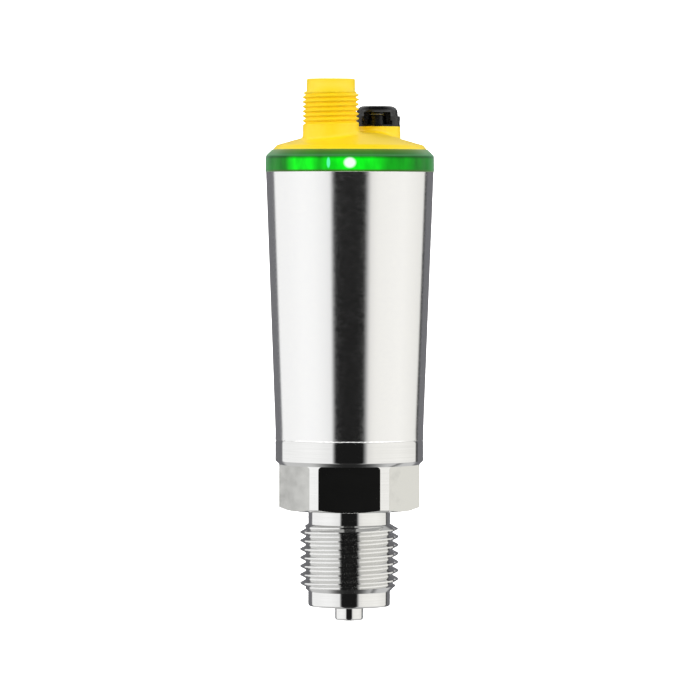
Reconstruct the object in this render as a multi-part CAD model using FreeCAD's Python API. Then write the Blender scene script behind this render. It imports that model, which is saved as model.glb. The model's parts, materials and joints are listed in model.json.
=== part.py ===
import FreeCAD, Part
import math
import os

# Pressure transmitter: a turned fitting, a tapered steel housing, a light ring and a plug head.
# Lengths are in millimetres and angles in degrees.
# The origin is the centre of the sealing face under the hexagon. +Z runs up to the plug.
# -Y is the front.

# Process fitting, below the sealing face
NECK_HEIGHT = 3.0
NECK_RELIEF = 0.565
STUB_LENGTH = 20.6
PILOT_LENGTH = 3.2
PILOT_EDGE = 0.5
SPIGOT_DIAMETER = 6.0
SPIGOT_LENGTH = 3.0
SPIGOT_EDGE = 0.35
PORT_DIAMETER = 3.0

# Process thread, G 1/2
PROCESS_THREAD_DIAMETER = 20.955
PROCESS_THREAD_PITCH = 1.814
PROCESS_THREAD_DEPTH = 1.162
PROCESS_THREAD_HALF_ANGLE = 27.5
PROCESS_THREAD_CREST = 0.3
THREAD_LEAD_ANGLE = 45.0
THREAD_RUNOUT_ANGLE = 60.0

# Process fitting, hexagon and collar
HEX_SIDES = 6
HEX_ACROSS_FLATS = 27.0
HEX_CORNER_RISE = 1.5
HEX_HEIGHT = 9.75
HEX_CHAMFER_ANGLE = 20.0
SEAL_FACE_INSET = 0.1
FLAT_CORNER_RADIUS = 0.7
COLLAR_DIAMETER = 31.6
COLLAR_HEIGHT = 4.6

# Process fitting, inside
PORT_BOSS_DIAMETER = 15.0
PORT_BOSS_HEIGHT = 3.0
LEDGE_DEPTH = 6.0
LEDGE_RISE = 4.5
LEDGE_WIDTH = 2.0
LIP_WALL = 1.55
LIP_HEIGHT = 2.45
WELD_FIT = 0.05

# Housing tube
TUBE_WALL = 1.2
TUBE_STRAIGHT = 1.95
TUBE_HEIGHT = 56.95
TUBE_TOP_DIAMETER = 35.75
MOUTH_WALL = 1.175
MOUTH_DEPTH = 6.5

# Light ring
RING_OVERHANG = 0.125
RING_HEIGHT = 4.75
RING_DRAFT = 0.05
RING_CHAMFER = 1.35
RING_CHAMFER_RADIUS = 0.9
RING_EDGE = 0.2
SKIRT_LENGTH = 5.5
SKIRT_WALL = 2.9
SKIRT_CLEARANCE = 0.1
BEAD_HEIGHT = 0.3
BEAD_WIDTH = 1.0
BEAD_LIFT = 0.5
BEAD_CLEARANCE = 0.05

# O-rings
TUBE_SEAL_CORD = 1.3
TUBE_SEAL_LIFT = 2.6
CAP_SEAL_CORD = 0.9
CAP_SEAL_INSET = 1.45
VENT_SEAL_CORD = 0.9
SEAL_SIDE_CLEARANCE = 0.2

# Head cap
FLANGE_SETBACK = 0.2
FLANGE_RISE = 0.95
FLANGE_LEAN = 0.8
SHOULDER_RADIUS = 0.9
CONE_ANGLE = 15.8
CAP_HEIGHT = 3.53
CROWN_RADIUS = 12.0
CAP_WALL = 2.0
CAP_SPIGOT_DEPTH = 1.6
CAP_SPIGOT_WALL = 1.6
CAP_CLEARANCE = 0.1
FOOT_FILLET = 1.0
FOOT_FILLET_ROOM_SHARE = 0.55
CAP_DRAFT_ANGLE = 1.0
HEAD_LINE_ANGLE = 48.0
INNER_BOSS_DROP = 3.0
PEG_DIAMETER = 2.6
PEG_INSET = 3.7
PEG_SPREAD = 18.0

# Plug connector, M12
CONNECTOR_ROOM_SHARE = 0.385
CONNECTOR_BASE_SETBACK = 0.05
CONNECTOR_BASE_HEIGHT = 1.56
CONNECTOR_THREAD_DIAMETER = 11.95
CONNECTOR_THREAD_LENGTH = 7.25
CONNECTOR_THREAD_RELIEF = 0.1
CONNECTOR_THREAD_PITCH = 1.0
CONNECTOR_THREAD_DEPTH = 0.6
CONNECTOR_THREAD_HALF_ANGLE = 30.0
CONNECTOR_THREAD_CREST = 0.2
CONNECTOR_LEAD_STEP = 0.825
CONNECTOR_LEAD_LENGTH = 2.65
CONNECTOR_LEAD_EDGE = 0.3
SOCKET_RIM_WALL = 0.9
SOCKET_DEPTH = 7.25
SOCKET_CLEARANCE = 0.05
CARRIER_FLANGE_WIDTH = 0.7
CARRIER_FLANGE_HEIGHT = 1.0
CARRIER_FLANGE_DEPTH = 1.8
INNER_BOSS_WALL = 1.6
KEY_WIDTH = 1.2
KEY_HEIGHT = 0.5
KEY_SETBACK = 1.2
CONTACT_COUNT = 4
CONTACT_DIAMETER = 1.0
CONTACT_CIRCLE = 5.0
CONTACT_RECESS = 1.7
CONTACT_TAIL = 1.0
CONTACT_FIT = 0.02
CONTACT_COLLAR = 0.25
CONTACT_COLLAR_HEIGHT = 0.6
CONTACT_TIP_RADIUS = 0.35

# Air vent
VENT_ROOM_SHARE = 0.202
VENT_BOSS_DIAMETER = 10.0
VENT_BOSS_HEIGHT = 1.46
VENT_HOLE_DIAMETER = 4.6
VENT_STEM_CLEARANCE = 0.1
VENT_FLANGE_HEIGHT = 0.35
VENT_POST_DIAMETER = 5.3
VENT_POST_HEIGHT = 2.2
VENT_POST_EDGE = 0.3
VENT_CHANNEL_DIAMETER = 1.6
VENT_BARB = 0.45
VENT_BARB_LENGTH = 1.7
VENT_BARB_SLOT = 0.8
MEMBRANE_INSET = 0.25
MEMBRANE_THICKNESS = 0.15
COVER_SETBACK = 0.05
COVER_COLLAR_HEIGHT = 1.85
COVER_STEP = 0.4
COVER_DRAFT = 0.3
COVER_HEIGHT = 4.05
COVER_EDGE = 1.5
COVER_WALL = 0.9
BAFFLE_MARGIN = 0.25
BAFFLE_CLEARANCE = 0.25
WINDOW_COUNT = 3
WINDOW_WIDTH = 5.7
WINDOW_HEIGHT = 2.75
WINDOW_FOOT_WIDTH = 6.4
WINDOW_FOOT_HEIGHT = 0.9

# Sensor cell and its board
CELL_BASE_DIAMETER = 13.0
CELL_BASE_HEIGHT = 1.5
CELL_DIAMETER = 11.0
CELL_HEIGHT = 5.5
CELL_CAVITY_DIAMETER = 6.4
CELL_CAVITY_EDGE = 0.4
DIAPHRAGM_THICKNESS = 0.6
SUPPORT_CLEARANCE = 0.1
SUPPORT_WALL = 2.7
SUPPORT_HEIGHT = 4.4
CELL_BOARD_CLEARANCE = 0.3
CELL_BOARD_THICKNESS = 1.0
CELL_BOARD_HOLE = 8.0
AMPLIFIER_WIDTH = 4.0
AMPLIFIER_HEIGHT = 0.9
AMPLIFIER_CHAMFER = 0.2

# Electronics carrier
CARRIER_CLEARANCE = 0.4
CARRIER_FOOT_LAP = 1.1
CARRIER_FOOT_HEIGHT = 3.0
CARRIER_TOP_RING_WALL = 2.0
CARRIER_TOP_RING_HEIGHT = 2.3
RAIL_DEPTH = 3.2
RAIL_WIDTH = 5.0
RAIL_GROOVE = 1.1
RAIL_FIT = 0.05
BOARD_SEAT_RISE = 3.5

# Main board
BOARD_THICKNESS = 1.6
BOARD_TOP_GAP = 2.8
BOARD_FIT = 0.1

# Flex cable and its sockets
FLEX_WIDTH = 5.0
FLEX_THICKNESS = 0.15
FLEX_BEND = 1.4
FLEX_STAND_OFF = 0.8
SOCKET_BLOCK_WIDTH = 7.0
SOCKET_BLOCK_DEPTH = 2.5
SOCKET_BLOCK_HEIGHT = 1.2
UPPER_SOCKET_PLACE = 0.155
UPPER_SOCKET_HEIGHT = 3.0

# Pieces on the main board. A place is a share of the board's length, from its lower end.
CHIP_STAND_OFF = 0.15
LEAD_WIDTH = 0.3
LEAD_HEIGHT = 0.45
LEAD_LAP = 0.4
LEAD_REACH = 0.9
CONTROLLER_PLACE = 0.43
CONTROLLER_WIDTH = 7.0
CONTROLLER_HEIGHT = 1.1
CONTROLLER_LEAD_COUNT = 8
CONTROLLER_LEAD_PITCH = 0.8
DRIVER_PLACES = (0.72, 0.55)
DRIVER_WIDTH = 3.9
DRIVER_LENGTH = 5.0
DRIVER_HEIGHT = 1.5
DRIVER_LEAD_COUNT = 4
DRIVER_LEAD_PITCH = 1.27
CRYSTAL_PLACE = 0.6
CRYSTAL_WIDTH = 3.2
CRYSTAL_LENGTH = 2.5
CRYSTAL_HEIGHT = 0.9
CRYSTAL_EDGE = 0.3
SUPPRESSOR_PLACE = 0.77
SUPPRESSOR_WIDTH = 4.6
SUPPRESSOR_LENGTH = 3.6
SUPPRESSOR_HEIGHT = 2.3
SUPPRESSOR_STAND_OFF = 0.2
TAB_REACH = 0.7
TAB_LAP = 0.8
TAB_WIDTH = 2.0
TAB_HEIGHT = 0.5
CAPACITOR_PLACE = 0.34
CAPACITOR_X = -2.0
CAPACITOR_DIAMETER = 6.3
CAPACITOR_HEIGHT = 5.8
CAPACITOR_PLATE_HEIGHT = 0.8
CAPACITOR_PLATE_MARGIN = 0.15
CAPACITOR_NECK_DEPTH = 0.25
CAPACITOR_NECK_RISE = 0.9
CAPACITOR_NECK_WIDTH = 0.6
CAPACITOR_FOOT_EDGE = 0.3
CAPACITOR_TOP_EDGE = 0.4
CHOKE_PLACE = 0.15
CHOKE_X = 2.0
CHOKE_DIAMETER = 6.0
CHOKE_HEIGHT = 3.0
CHOKE_FLANGE = 0.7
CHOKE_WINDING_DEPTH = 0.5
HEADER_PIN_COUNT = 5
HEADER_PITCH = 2.0
HEADER_DEPTH = 2.2
HEADER_HEIGHT = 2.4
HEADER_PIN_WIDTH = 0.5
HEADER_PIN_RISE = 0.5

# Light board
LIGHT_BOARD_LIFT = 0.2
LIGHT_BOARD_CLEARANCE = 0.1
LIGHT_BOARD_THICKNESS = 1.2
PIN_HOLE_CLEARANCE = 0.1
LAMP_COUNT = 8
LAMP_WIDTH = 3.2
LAMP_DEPTH = 1.5
LAMP_HEIGHT = 1.3
LAMP_SETBACK = 0.35
LAMP_LENS_DEPTH = 0.25
LAMP_LENS_MARGIN = 0.2

# How far a cut or a joined piece runs past the face that it opens or meets
CUT_SPARE = 1.0
JOIN_SPARE = 0.3

# Points taken along an edge to tell where it lies
EDGE_SAMPLES = 7

# Heights and radii that several pieces share
NECK_RADIUS = PROCESS_THREAD_DIAMETER / 2 - PROCESS_THREAD_DEPTH - NECK_RELIEF
HEX_CORNER_RADIUS = HEX_ACROSS_FLATS / 2 + HEX_CORNER_RISE
SEAL_FACE_RADIUS = HEX_ACROSS_FLATS / 2 - SEAL_FACE_INSET
COLLAR_CHAMFER = abs(COLLAR_DIAMETER / 2 - HEX_CORNER_RADIUS)
WELD_Z = HEX_HEIGHT + COLLAR_CHAMFER + COLLAR_HEIGHT
TUBE_TOP_Z = WELD_Z + TUBE_HEIGHT
RING_TOP_Z = TUBE_TOP_Z + RING_HEIGHT
TUBE_BORE_RADIUS = COLLAR_DIAMETER / 2 - TUBE_WALL
LIP_TOP_Z = WELD_Z + LIP_HEIGHT
LIP_RADIUS = TUBE_BORE_RADIUS - WELD_FIT
LIP_BORE_RADIUS = LIP_RADIUS - LIP_WALL
LEDGE_Z = LIP_TOP_Z - LEDGE_DEPTH
RECESS_FLOOR_Z = LEDGE_Z - LEDGE_RISE
PORT_BOSS_Z = RECESS_FLOOR_Z + PORT_BOSS_HEIGHT
MOUTH_RADIUS = TUBE_TOP_DIAMETER / 2 - MOUTH_WALL
SKIRT_RADIUS = MOUTH_RADIUS - SKIRT_CLEARANCE
SKIRT_BOTTOM_Z = TUBE_TOP_Z - SKIRT_LENGTH
BEAD_Z = SKIRT_BOTTOM_Z + BEAD_LIFT + BEAD_WIDTH / 2
RING_BORE_RADIUS = SKIRT_RADIUS - SKIRT_WALL
RING_RADIUS = TUBE_TOP_DIAMETER / 2 + RING_OVERHANG
RING_TOP_RADIUS = RING_RADIUS - RING_DRAFT - RING_CHAMFER
FLANGE_RADIUS = RING_TOP_RADIUS - FLANGE_SETBACK
CAP_RIM_RADIUS = FLANGE_RADIUS - FLANGE_LEAN
CAP_TOP_Z = RING_TOP_Z + CAP_HEIGHT
INNER_BOSS_Z = CAP_TOP_Z - INNER_BOSS_DROP
CONNECTOR_BASE_Z = CAP_TOP_Z + CONNECTOR_BASE_HEIGHT
CONNECTOR_THREAD_Z = CONNECTOR_BASE_Z + CONNECTOR_THREAD_LENGTH
CONNECTOR_TOP_Z = CONNECTOR_THREAD_Z + CONNECTOR_LEAD_LENGTH
SOCKET_FLOOR_Z = CONNECTOR_TOP_Z - SOCKET_DEPTH
CONNECTOR_THREAD_RADIUS = CONNECTOR_THREAD_DIAMETER / 2
CONNECTOR_BASE_RADIUS = CONNECTOR_THREAD_RADIUS - CONNECTOR_BASE_SETBACK
CONNECTOR_LEAD_RADIUS = CONNECTOR_THREAD_RADIUS - CONNECTOR_LEAD_STEP
SOCKET_RADIUS = CONNECTOR_LEAD_RADIUS - SOCKET_RIM_WALL
CARRIER_SEAT_Z = INNER_BOSS_Z + CARRIER_FLANGE_DEPTH
VENT_BOSS_RADIUS = VENT_BOSS_DIAMETER / 2
COVER_RADIUS = VENT_BOSS_RADIUS - COVER_SETBACK
VENT_BOSS_Z = CAP_TOP_Z + VENT_BOSS_HEIGHT
VENT_FLANGE_Z = VENT_BOSS_Z + VENT_FLANGE_HEIGHT
VENT_POST_Z = VENT_FLANGE_Z + VENT_POST_HEIGHT
SUPPORT_TOP_Z = LEDGE_Z + SUPPORT_HEIGHT
CELL_BOARD_Z = SUPPORT_TOP_Z + CELL_BOARD_THICKNESS
CELL_BOARD_RADIUS = LIP_BORE_RADIUS - CELL_BOARD_CLEARANCE
CARRIER_RADIUS = TUBE_BORE_RADIUS - CARRIER_CLEARANCE
TOP_RING_RADIUS = min(RING_BORE_RADIUS, TUBE_BORE_RADIUS) - CARRIER_CLEARANCE
FOOT_RING_BORE_RADIUS = TOP_RING_RADIUS - CARRIER_FOOT_LAP
CELL_BOARD_MIDDLE = (CELL_BOARD_HOLE / 2 + min(CELL_BOARD_RADIUS, FOOT_RING_BORE_RADIUS)) / 2
RAIL_RADIUS = math.sqrt(TOP_RING_RADIUS ** 2 - (RAIL_WIDTH / 2) ** 2)
RAIL_FACE_X = RAIL_RADIUS - RAIL_DEPTH
BOARD_HALF_WIDTH = RAIL_FACE_X + RAIL_GROOVE - BOARD_FIT
BOARD_FACE = BOARD_THICKNESS / 2
BOARD_BOTTOM_Z = LIP_TOP_Z + BOARD_SEAT_RISE
LIGHT_BOARD_Z = TUBE_TOP_Z + LIGHT_BOARD_LIFT
BOARD_TOP_Z = LIGHT_BOARD_Z - BOARD_TOP_GAP
LIGHT_BOARD_TOP_Z = LIGHT_BOARD_Z + LIGHT_BOARD_THICKNESS
LIGHT_BOARD_RADIUS = TOP_RING_RADIUS - LIGHT_BOARD_CLEARANCE
HEADER_Y = BOARD_FACE + HEADER_DEPTH / 2
FRONT = -90.0


# Shapes that the pieces share

def at(x, y, z):
    return FreeCAD.Vector(x, y, z)


def outline(corners):
    """Closed wire in the XZ plane through (x, z) corners. A third number rounds its corner with an arc."""
    starts = []
    ends = []
    arcs = []
    count = len(corners)
    for i, corner in enumerate(corners):
        here = at(corner[0], 0, corner[1])
        before = at(corners[i - 1][0], 0, corners[i - 1][1])
        after = at(corners[(i + 1) % count][0], 0, corners[(i + 1) % count][1])
        if len(corner) < 3:
            starts.append(here)
            ends.append(here)
            arcs.append(None)
            continue
        to_before = (before - here).normalize()
        to_after = (after - here).normalize()
        half_angle = to_before.getAngle(to_after) / 2
        reach = corner[2] / math.tan(half_angle)
        middle = (to_before + to_after).normalize()
        centre = here + middle * (corner[2] / math.sin(half_angle))
        starts.append(here + to_before * reach)
        ends.append(here + to_after * reach)
        arcs.append(Part.Arc(starts[-1], centre - middle * corner[2], ends[-1]).toShape())
    edges = []
    for i in range(count):
        if arcs[i]:
            edges.append(arcs[i])
        edges.append(Part.LineSegment(ends[i], starts[(i + 1) % count]).toShape())
    return Part.Wire(edges)


def turned(corners, axis=(0, 0)):
    """Solid of revolution from (radius, z) corners, on a vertical axis through the point axis."""
    solid = Part.Face(outline(corners)).revolve(at(0, 0, 0), at(0, 0, 1), 360)
    solid.translate(at(axis[0], axis[1], 0))
    return solid


def rod(radius, bottom, top, axis=(0, 0)):
    return Part.makeCylinder(radius, top - bottom, at(axis[0], axis[1], bottom))


def tube(inner, outer, bottom, top, axis=(0, 0)):
    return rod(outer, bottom, top, axis).cut(rod(inner, bottom, top, axis))


def block(low, high):
    """Box between two opposite corners."""
    size = at(*high) - at(*low)
    return Part.makeBox(size.x, size.y, size.z, at(*low))


def o_ring(radius, cord, z, axis=(0, 0)):
    """Round-section ring, given the radius of its cord's centre line."""
    return Part.makeTorus(radius, cord / 2, at(axis[0], axis[1], z))


def around(shape, angle, axis=(0, 0)):
    """Copy of a shape, turned about a vertical axis."""
    copy = shape.copy()
    copy.rotate(at(axis[0], axis[1], 0), at(0, 0, 1), angle)
    return copy


def on_circle(radius, angle, axis=(0, 0)):
    turn = math.radians(angle)
    return (axis[0] + radius * math.cos(turn), axis[1] + radius * math.sin(turn))


def along_line(offset):
    """Point on the line through connector, axis and vent. Plus is the vent's side."""
    return on_circle(offset, HEAD_LINE_ANGLE)


def bead_outline(radius, height, middle, width):
    """Corners of a low ridge on a turned wall, from its lower foot to its upper foot."""
    return [
        (radius, middle - width / 2),
        (radius + height, middle - width / 6),
        (radius + height, middle + width / 6),
        (radius, middle + width / 2),
    ]


def thread_grooves(diameter, pitch, depth, half_angle, crest, bottom, top, axis=(0, 0)):
    """Closed grooves of a thread's true profile and pitch. The helix itself is left out."""
    lean = math.tan(math.radians(half_angle))
    half_mouth = (pitch - crest) / 2 + JOIN_SPARE * lean
    half_root = (pitch - crest) / 2 - depth * lean
    grooves = []
    for i in range(round((top - bottom) / pitch)):
        middle = top - (i + 0.5) * pitch
        grooves.append(turned([
            (diameter / 2 - depth, middle - half_root),
            (diameter / 2 + JOIN_SPARE, middle - half_mouth),
            (diameter / 2 + JOIN_SPARE, middle + half_mouth),
            (diameter / 2 - depth, middle + half_root),
        ], axis))
    return grooves


# Process fitting and housing

def process_fitting():
    """Fitting turned from one bar: spigot, pilot, thread, neck, hexagon, collar, and a cup for the cell."""
    port = PORT_DIAMETER / 2
    spigot = SPIGOT_DIAMETER / 2
    neck = NECK_RADIUS
    crest = PROCESS_THREAD_DIAMETER / 2
    corner = HEX_CORNER_RADIUS
    collar = COLLAR_DIAMETER / 2
    lead = (crest - neck) / math.tan(math.radians(THREAD_LEAD_ANGLE))
    runout = (crest - neck) / math.tan(math.radians(THREAD_RUNOUT_ANGLE))
    thread_bottom = -STUB_LENGTH + PILOT_LENGTH
    hex_chamfer = (corner - SEAL_FACE_RADIUS) * math.tan(math.radians(HEX_CHAMFER_ANGLE))
    recess = LIP_BORE_RADIUS - LEDGE_WIDTH
    boss = PORT_BOSS_DIAMETER / 2
    blank = turned([
        (port, -STUB_LENGTH - SPIGOT_LENGTH),
        (spigot - SPIGOT_EDGE, -STUB_LENGTH - SPIGOT_LENGTH),
        (spigot, -STUB_LENGTH - SPIGOT_LENGTH + SPIGOT_EDGE),
        (spigot, -STUB_LENGTH),
        (neck, -STUB_LENGTH, PILOT_EDGE),
        (neck, thread_bottom),
        (crest, thread_bottom + lead),
        (crest, -NECK_HEIGHT - runout),
        (neck, -NECK_HEIGHT),
        (neck, 0),
        (SEAL_FACE_RADIUS, 0),
        (corner, hex_chamfer),
        (corner, HEX_HEIGHT),
        (collar, HEX_HEIGHT + COLLAR_CHAMFER),
        (collar, WELD_Z),
        (LIP_RADIUS, WELD_Z),
        (LIP_RADIUS, LIP_TOP_Z),
        (LIP_BORE_RADIUS, LIP_TOP_Z),
        (LIP_BORE_RADIUS, LEDGE_Z),
        (recess, LEDGE_Z),
        (recess, RECESS_FLOOR_Z),
        (boss, RECESS_FLOOR_Z),
        (boss, PORT_BOSS_Z),
        (port, PORT_BOSS_Z),
    ])
    grooves = thread_grooves(
        PROCESS_THREAD_DIAMETER,
        PROCESS_THREAD_PITCH,
        PROCESS_THREAD_DEPTH,
        PROCESS_THREAD_HALF_ANGLE,
        PROCESS_THREAD_CREST,
        thread_bottom,
        -NECK_HEIGHT,
    )
    return blank.cut(grooves + hexagon_cuts())


def hexagon_cuts():
    """The six blocks that are milled away, each with its two upper corners rounded."""
    flat = HEX_ACROSS_FLATS / 2
    reach = HEX_CORNER_RADIUS + CUT_SPARE
    half_chord = math.sqrt(HEX_CORNER_RADIUS ** 2 - flat ** 2)
    window = Part.Face(outline([
        (-half_chord, -CUT_SPARE),
        (half_chord, -CUT_SPARE),
        (half_chord, HEX_HEIGHT, FLAT_CORNER_RADIUS),
        (-half_chord, HEX_HEIGHT, FLAT_CORNER_RADIUS),
    ]))
    window.translate(at(0, -reach, 0))
    cut = window.extrude(at(0, reach - flat, 0))
    return [around(cut, i * 360 / HEX_SIDES) for i in range(HEX_SIDES)]


def housing_tube():
    """Conical tube with a straight foot, a turned mouth and a snap groove for the light ring."""
    foot_z = WELD_Z + TUBE_STRAIGHT
    foot = COLLAR_DIAMETER / 2
    top = TUBE_TOP_DIAMETER / 2
    taper = (top - foot) / (TUBE_TOP_Z - foot_z)
    mouth_z = TUBE_TOP_Z - MOUTH_DEPTH
    bore_at_mouth = foot + taper * (mouth_z - foot_z) - TUBE_WALL
    groove = bead_outline(MOUTH_RADIUS, BEAD_HEIGHT, BEAD_Z, BEAD_WIDTH + 2 * BEAD_CLEARANCE)
    return turned([
        (foot, WELD_Z),
        (foot, foot_z),
        (top, TUBE_TOP_Z),
        (MOUTH_RADIUS, TUBE_TOP_Z),
    ] + groove[::-1] + [
        (MOUTH_RADIUS, mouth_z),
        (bore_at_mouth, mouth_z),
        (foot - TUBE_WALL, foot_z),
        (foot - TUBE_WALL, WELD_Z),
    ])


# Light ring and its seals

def tube_seal_z():
    return SKIRT_BOTTOM_Z + TUBE_SEAL_LIFT + TUBE_SEAL_CORD / 2


def tube_seal_floor():
    return MOUTH_RADIUS - BEAD_CLEARANCE - TUBE_SEAL_CORD


def cap_seal_radius():
    return RING_TOP_RADIUS - CAP_SEAL_INSET


def light_ring():
    """Translucent ring whose skirt snaps into the tube's mouth, with one groove for each seal."""
    tube_groove = TUBE_SEAL_CORD / 2 + SEAL_SIDE_CLEARANCE
    cap_groove = CAP_SEAL_CORD / 2 + SEAL_SIDE_CLEARANCE
    outer_corner = RING_RADIUS - RING_DRAFT
    return turned([
        (RING_BORE_RADIUS, SKIRT_BOTTOM_Z),
        (SKIRT_RADIUS, SKIRT_BOTTOM_Z),
    ] + bead_outline(SKIRT_RADIUS, BEAD_HEIGHT, BEAD_Z, BEAD_WIDTH) + [
        (SKIRT_RADIUS, tube_seal_z() - tube_groove),
        (tube_seal_floor(), tube_seal_z() - tube_groove),
        (tube_seal_floor(), tube_seal_z() + tube_groove),
        (SKIRT_RADIUS, tube_seal_z() + tube_groove),
        (SKIRT_RADIUS, TUBE_TOP_Z),
        (RING_RADIUS, TUBE_TOP_Z, RING_EDGE),
        (outer_corner, RING_TOP_Z - RING_CHAMFER, RING_CHAMFER_RADIUS),
        (RING_TOP_RADIUS, RING_TOP_Z, RING_EDGE),
        (cap_seal_radius() + cap_groove, RING_TOP_Z),
        (cap_seal_radius() + cap_groove, RING_TOP_Z - CAP_SEAL_CORD),
        (cap_seal_radius() - cap_groove, RING_TOP_Z - CAP_SEAL_CORD),
        (cap_seal_radius() - cap_groove, RING_TOP_Z),
        (RING_BORE_RADIUS, RING_TOP_Z),
    ])


def tube_seal():
    return o_ring(tube_seal_floor() + TUBE_SEAL_CORD / 2, TUBE_SEAL_CORD, tube_seal_z())


def cap_seal():
    return o_ring(cap_seal_radius(), CAP_SEAL_CORD, RING_TOP_Z - CAP_SEAL_CORD / 2)


# Head cap

def cone_height(radius):
    """Height of the cap's sloping face at a radius, above its outer corner."""
    return RING_TOP_Z + FLANGE_RISE + (CAP_RIM_RADIUS - radius) * math.tan(math.radians(CONE_ANGLE))


def crown_radius_at(z):
    """Radius where the cap's sloping face reaches a height."""
    return CAP_RIM_RADIUS - (z - RING_TOP_Z - FLANGE_RISE) / math.tan(math.radians(CONE_ANGLE))


def cap_shell():
    """The cap's outer form, solid: spigot, flange, sloping face and flat crown."""
    spigot = RING_BORE_RADIUS - CAP_CLEARANCE
    return turned([
        (0, RING_TOP_Z - CAP_SPIGOT_DEPTH),
        (spigot, RING_TOP_Z - CAP_SPIGOT_DEPTH),
        (spigot, RING_TOP_Z),
        (FLANGE_RADIUS, RING_TOP_Z),
        (CAP_RIM_RADIUS, RING_TOP_Z + FLANGE_RISE, SHOULDER_RADIUS),
        (crown_radius_at(CAP_TOP_Z), CAP_TOP_Z, CROWN_RADIUS),
        (0, CAP_TOP_Z),
    ])


def cap_hollow():
    """The space inside the cap, one wall below its outer form."""
    bore = RING_BORE_RADIUS - CAP_CLEARANCE - CAP_SPIGOT_WALL
    drop = CAP_WALL / math.cos(math.radians(CONE_ANGLE))
    roof = CAP_TOP_Z - CAP_WALL
    return turned([
        (0, RING_TOP_Z - CAP_SPIGOT_DEPTH - CUT_SPARE),
        (bore, RING_TOP_Z - CAP_SPIGOT_DEPTH - CUT_SPARE),
        (bore, cone_height(bore) - drop),
        (crown_radius_at(roof + drop), roof),
        (0, roof),
    ])


def free_room():
    """Width across the cap's sloping face that the connector and the vent boss leave free."""
    return 2 * (CAP_RIM_RADIUS - CONNECTOR_BASE_RADIUS - VENT_BOSS_RADIUS)


def connector_axis():
    return along_line(CONNECTOR_BASE_RADIUS + CONNECTOR_ROOM_SHARE * free_room() - CAP_RIM_RADIUS)


def vent_axis():
    return along_line(CAP_RIM_RADIUS - VENT_ROOM_SHARE * free_room() - VENT_BOSS_RADIUS)


def foot_fillet():
    """Fillet at the foot of the connector and of the vent boss, limited by the rim beside the boss."""
    return min(FOOT_FILLET, FOOT_FILLET_ROOM_SHARE * VENT_ROOM_SHARE * free_room())


def upright(radius, top, axis):
    """Upright moulded cylinder with draft, from inside the cap to where it has the given radius."""
    foot = RING_TOP_Z + JOIN_SPARE
    draft = (top - foot) * math.tan(math.radians(CAP_DRAFT_ANGLE))
    return turned([(0, foot), (radius + draft, foot), (radius, top), (0, top)], axis)


def standing_on_cap(cap, radius, top, axis):
    """Joins an upright to the cap and rounds the edge where it meets the sloping face and the crown."""
    cap = cap.fuse(upright(radius, top, axis))
    draft = math.tan(math.radians(CAP_DRAFT_ANGLE))
    foot = []
    for edge in cap.Edges:
        points = edge.discretize(EDGE_SAMPLES)
        reach = [math.hypot(p.x - axis[0], p.y - axis[1]) for p in points]
        on_wall = all(abs(r - radius - (top - p.z) * draft) < 0.01 for r, p in zip(reach, points))
        on_roof = all(RING_TOP_Z + JOIN_SPARE + 0.01 < p.z < CAP_TOP_Z + 0.01 for p in points)
        if on_wall and on_roof:
            foot.append(edge)
    return cap.makeFillet(foot_fillet(), foot)


def head_cap():
    """One moulding: cap, connector shroud with thread and key, vent boss, and the light board's pegs."""
    plug = connector_axis()
    vent = vent_axis()
    flange_seat = SOCKET_RADIUS + CARRIER_FLANGE_WIDTH
    below = INNER_BOSS_Z - CUT_SPARE
    cap = cap_shell()
    cap = standing_on_cap(cap, CONNECTOR_BASE_RADIUS, CONNECTOR_BASE_Z, plug)
    cap = standing_on_cap(cap, VENT_BOSS_RADIUS, VENT_BOSS_Z, vent)
    kept = [
        rod(flange_seat + INNER_BOSS_WALL, INNER_BOSS_Z, CAP_TOP_Z, plug),
        rod(VENT_BOSS_RADIUS, INNER_BOSS_Z, CAP_TOP_Z, vent),
    ] + [rod(PEG_DIAMETER / 2, LIGHT_BOARD_TOP_Z, CAP_TOP_Z, place) for place in peg_places()]
    cap = cap.cut(cap_hollow().cut(kept))
    roof = CAP_TOP_Z - CAP_WALL
    pegs = [rod(PEG_DIAMETER / 2, LIGHT_BOARD_TOP_Z, roof, place) for place in peg_places()]
    cap = cap.fuse(pegs + [connector_shroud()])
    openings = [
        rod(SOCKET_RADIUS, below, CONNECTOR_TOP_Z + CUT_SPARE, plug),
        rod(flange_seat, below, CARRIER_SEAT_Z, plug),
        rod(VENT_HOLE_DIAMETER / 2, below, VENT_BOSS_Z + CUT_SPARE, vent),
        rod(VENT_HOLE_DIAMETER / 2 + 2 * VENT_BARB, INNER_BOSS_Z - CAP_WALL, INNER_BOSS_Z, vent),
        rod(vent_seal_recess(), VENT_BOSS_Z - VENT_SEAL_CORD, VENT_BOSS_Z + CUT_SPARE, vent),
    ]
    return cap.cut(openings).fuse(socket_key()).removeSplitter()


def peg_places():
    """The pegs stand in pairs, square to the line from the connector to the vent."""
    radius = LIGHT_BOARD_RADIUS - PEG_INSET
    sides = [HEAD_LINE_ANGLE - 90, HEAD_LINE_ANGLE + 90]
    return [on_circle(radius, side + spread) for side in sides for spread in (-PEG_SPREAD, PEG_SPREAD)]


def vent_seal_recess():
    return VENT_HOLE_DIAMETER / 2 + VENT_SEAL_CORD + SEAL_SIDE_CLEARANCE


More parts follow.
